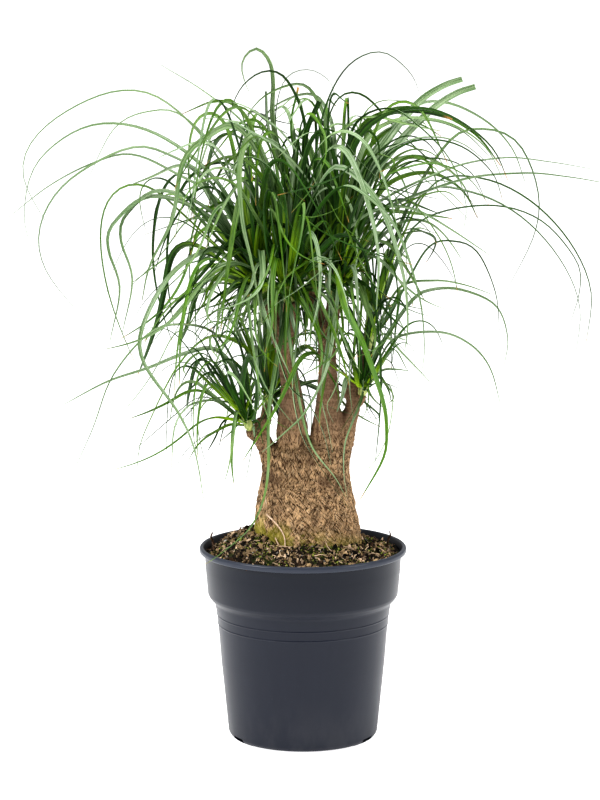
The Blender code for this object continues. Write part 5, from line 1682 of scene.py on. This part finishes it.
def crowded_out(rosette, placed):
    """The outline leaves that found no room, or only well aside, each where it was meant to be."""
    tips = [blade.path[-1] for blade in placed if blade.segments == ARCH_SEGMENTS]
    for index in range(len(ARCHES[rosette.name])):
        blade = arch(rosette, index, 0)
        meant = blade.path[-1]
        if all(math.hypot(tip.x - meant.x, tip.z - meant.z) > TIP_SHIFT for tip in tips):
            yield blade


def fill(canopy, leaves):
    """Adds the filling leaves wherever they clear the rest beyond their crowded bases."""
    for rosette in ROSETTES:
        leaves[rosette.name] += list(crowded_out(rosette, leaves[rosette.name]))
        for index in range(len(TRAILING.get(rosette.name, ()))):
            leaves[rosette.name].append(trailing(rosette, index))
        for index in range(int(rosette.count * rosette.fill)):
            for attempt in range(FILL_TRIES):
                blade = filler(rosette, index, attempt)
                if canopy.takes(rosette.name, blade, FILL_STEPS, FILL_CLEARANCE):
                    leaves[rosette.name].append(blade)
                    break


def leaf_lines(blades):
    """The centre lines of a rosette's leaves, as loose edges that carry what shapes each blade."""
    shape = bmesh.new()
    half = shape.verts.layers.float.new("half")
    over = shape.verts.layers.float_vector.new("over")
    along_at = shape.verts.layers.float.new("along")
    tone = shape.verts.layers.float.new("tone")
    for order, blade in enumerate(blades):
        chance = random.Random(f"tone {order}").random()
        last = len(blade.path) - 1
        before = None
        for index, (point, (along, side)) in enumerate(zip(blade.path, carried_frames(blade.path))):
            share = index / last
            corner = shape.verts.new(point)
            _, corner[over], corner[half] = blade_section(blade, share, along, side)
            corner[along_at] = share
            corner[tone] = chance
            if before:
                shape.edges.new((before, corner))
            before = corner
    return show("leaf lines", shape, smooth=0)


def blade_tree():
    """Sweeps a folded, keeled section along each leaf's centre line."""
    tree = Shaping(
        "leaf blades",
        {
            "Steps": ("Int", 40),
            "Sides": ("Int", 8),
            "Fold": ("Float", 0.50),
            "Thickness": ("Float", 0.09),
            "Finish": ("Material", None),
        },
    )
    given = tree.given

    def named(kind, name):
        return tree.add("GeometryNodeInputNamedAttribute", {"data_type": kind}, {"Name": name})

    def stored(shape, name, value):
        settings = {"data_type": "FLOAT", "domain": "POINT"}
        sockets = {"Geometry": shape, "Name": name, "Value": value}
        return tree.add("GeometryNodeStoreNamedAttribute", settings, sockets)

    lines = tree.add("GeometryNodeMeshToCurve", None, {"Mesh": given["Base"]})
    settings = {"spline_type": "CATMULL_ROM"}
    lines = tree.add("GeometryNodeCurveSplineType", settings, {"Curve": lines})
    sockets = {"Curve": lines, "Count": given["Steps"]}
    lines = tree.add("GeometryNodeResampleCurve", {"mode": "COUNT"}, sockets)
    sockets = {"Curve": lines, "Normal": named("FLOAT_VECTOR", "over")}
    lines = tree.add("GeometryNodeSetCurveNormal", {"mode": "FREE"}, sockets)
    sockets = {"Resolution": given["Sides"], "Radius": 1.0}
    ring = tree.add("GeometryNodeCurvePrimitiveCircle", None, sockets)
    spot = tree.add("GeometryNodeInputPosition")
    x = tree.part(spot, "X")
    y = tree.part(spot, "Y")
    ring = stored(stored(ring, "across", x), "upper", y)
    valley = (1 - x.maths("ABSOLUTE")) * given["Fold"]
    section = tree.combine(y * given["Thickness"] - valley, 0 - x, 0.0)
    ring = tree.add("GeometryNodeSetPosition", None, {"Geometry": ring, "Position": section})
    sockets = {"Curve": lines, "Profile Curve": ring, "Scale": named("FLOAT", "half")}
    sockets |= {"Fill Caps": True}
    tree.close(tree.add("GeometryNodeCurveToMesh", None, sockets))
    return tree


def make_leaves(green, sheath):
    """A piece of blades for each rosette, over the heart that they grow from."""
    fixed = ("nursery_pot", "trunk", "potting_soil")
    canopy, leaves = grow([surface_of(frame["nodes"][name].data) for name in fixed])
    fill(canopy, leaves)
    blades = blade_tree()
    for rosette in ROSETTES:
        plain = rosette.name.replace("rosette_", "")
        lines = leaf_lines(leaves[rosette.name])
        crown = blades.piece(lines, f"leaves_{plain}", finish=green)
        settle(crown, "leaf", rosette.name)
        bulb = show(f"heart_{plain}", heart(rosette, 24), sheath, smooth=80)
        settle(bulb, "leaf")


def leaf_finish():
    """Grey-green and faintly bloomed above, with painted shade making the underside deeper green, and fine
    lengthwise veins.
    """
    look = Finish("ribbon leaf")
    spot = look.place()
    across = look.attribute("across")
    along = look.attribute("along")
    tone = look.attribute("tone")
    upper = look.attribute("upper").band(-0.25, 0.25)
    vein_place = look.combine(across * 2.6 + tone * 50, along * 2.4, tone * 20)
    veins = look.noise(vein_place, 1.6, 3, 0.65)
    clouds = look.noise(spot, 22, 2)
    top = look.mix((0.020, 0.080, 0.001), (0.135, 0.270, 0.008), veins.band(0.38, 0.60))
    silver = look.mix((0.120, 0.215, 0.085), (0.420, 0.520, 0.350), veins.band(0.38, 0.60))
    bloom = clouds.band(0.38, 0.62) * 0.25 + (1 - tone.band(0.20, 0.56)) * 0.72
    top = look.mix(top, silver, bloom)
    # painted shade: the underside takes the darkest greens of the upper face
    under = look.mix((0.001, 0.010, 0.000), (0.020, 0.080, 0.001), veins.band(0.36, 0.62))
    colour = look.mix(under, top, upper)
    colour = look.mix(colour, (0.055, 0.165, 0.004), tone.band(0.62, 1.0) * 0.45)
    base = 1 - along.band(0.04, 0.42)
    shaded = look.mix((0.002, 0.020, 0.000), (0.030, 0.120, 0.001), veins.band(0.38, 0.58))
    fresh = look.mix((0.050, 0.170, 0.000), (0.380, 0.600, 0.008), veins.band(0.36, 0.56))
    colour = look.mix(colour, look.mix(shaded, fresh, tone.band(0.50, 0.70)), base * 0.85)
    far = look.from_axis(spot)
    colour = look.mix(colour, (0.026, 0.085, 0.008), far.band(0.12, 0.26) * 0.62)
    midrib = 1 - across.maths("ABSOLUTE").band(0.0, 0.14)
    colour = look.mix(colour, (0.300, 0.460, 0.180), midrib * upper * 0.25)
    tip = along.band(0.955, 0.995) * tone.band(0.30, 0.55)
    colour = look.mix(colour, (0.480, 0.230, 0.060), tip * 0.85)
    relief = veins * 0.6 + midrib * 0.2
    return look.finish(colour, 0.44 + clouds * 0.14, relief, 0.00035, Specular_IOR_Level=0.20)


def sheath_finish():
    """Pale ribbed green, browned in spots."""
    look = Finish("pale sheath")
    spot = look.place()
    ribs = look.noise(look.stretched((420, 420, 30)), 1, 3)
    colour = look.mix((0.180, 0.260, 0.045), (0.520, 0.560, 0.190), ribs.band(0.35, 0.65))
    colour = look.mix(colour, (0.290, 0.200, 0.090), look.noise(spot, 120, 3).band(0.60, 0.74) * 0.7)
    return look.finish(colour, 0.55, ribs, 0.0006)


# ---------------------------------------------------------------- the whole plant


def top_of(soil, name):
    """A copy of the soil's mesh as an object of its own, to scatter litter on."""
    thing = bpy.data.objects.new(name, soil.data.copy())
    bpy.context.scene.collection.objects.link(thing)
    return thing


Litter = namedtuple("Litter", "density smallest largest grain stretch patches seed")


def make_litter(soil):
    """Clods, crumbs, bark bits, pale flecks, moss and loose fibres on the soil."""
    tree = litter_tree()
    peat = crumb_finish("peat crumbs", (0.004, 0.003, 0.002), (0.560, 0.390, 0.210))
    bark_bits = crumb_finish("bark bits", (0.080, 0.046, 0.028), (1.000, 0.740, 0.500))
    pale = crumb_finish("pale flecks", (0.330, 0.300, 0.260), (0.700, 0.690, 0.640))
    moss = crumb_finish("moss", (0.014, 0.030, 0.002), (0.420, 0.480, 0.090))
    for name, finish, litter in (
        ("peat_clods", peat, Litter(12000.0, 0.5, 1.5, 0.0026, 1.3, 0.0, 2)),
        ("peat_crumbs", peat, Litter(90000.0, 0.4, 1.5, 0.0015, 1.4, 0.0, 3)),
        ("bark_bits", bark_bits, Litter(22000.0, 0.4, 1.4, 0.0017, 2.8, 0.0, 5)),
        ("pale_flecks", pale, Litter(8000.0, 0.4, 1.3, 0.0013, 1.6, 0.0, 8)),
        ("moss_tufts", moss, Litter(110000.0, 0.4, 1.4, 0.0013, 1.5, 1.0, 13)),
    ):
        bits = tree.piece(top_of(soil, name), name, finish=finish, **litter._asdict())
        settle(bits, "soil")
    fibres = strand_tree().piece(top_of(soil, "loose_fibres"), "loose_fibres", finish=bark_bits)
    settle(fibres, "soil")


def main():
    set_stage()
    make_pot(pot_plastic())
    trunk = make_trunk(bark_finish())
    soil = make_soil(peat_finish())
    make_litter(soil)
    pale_root = root_finish("pale root", (0.520, 0.330, 0.210), (0.900, 0.700, 0.500))
    dark_twig = root_finish("dark twig", (0.030, 0.016, 0.009), (0.170, 0.100, 0.060))
    make_roots(trunk, soil, pale_root, dark_twig)
    make_leaves(leaf_finish(), sheath_finish())


main()
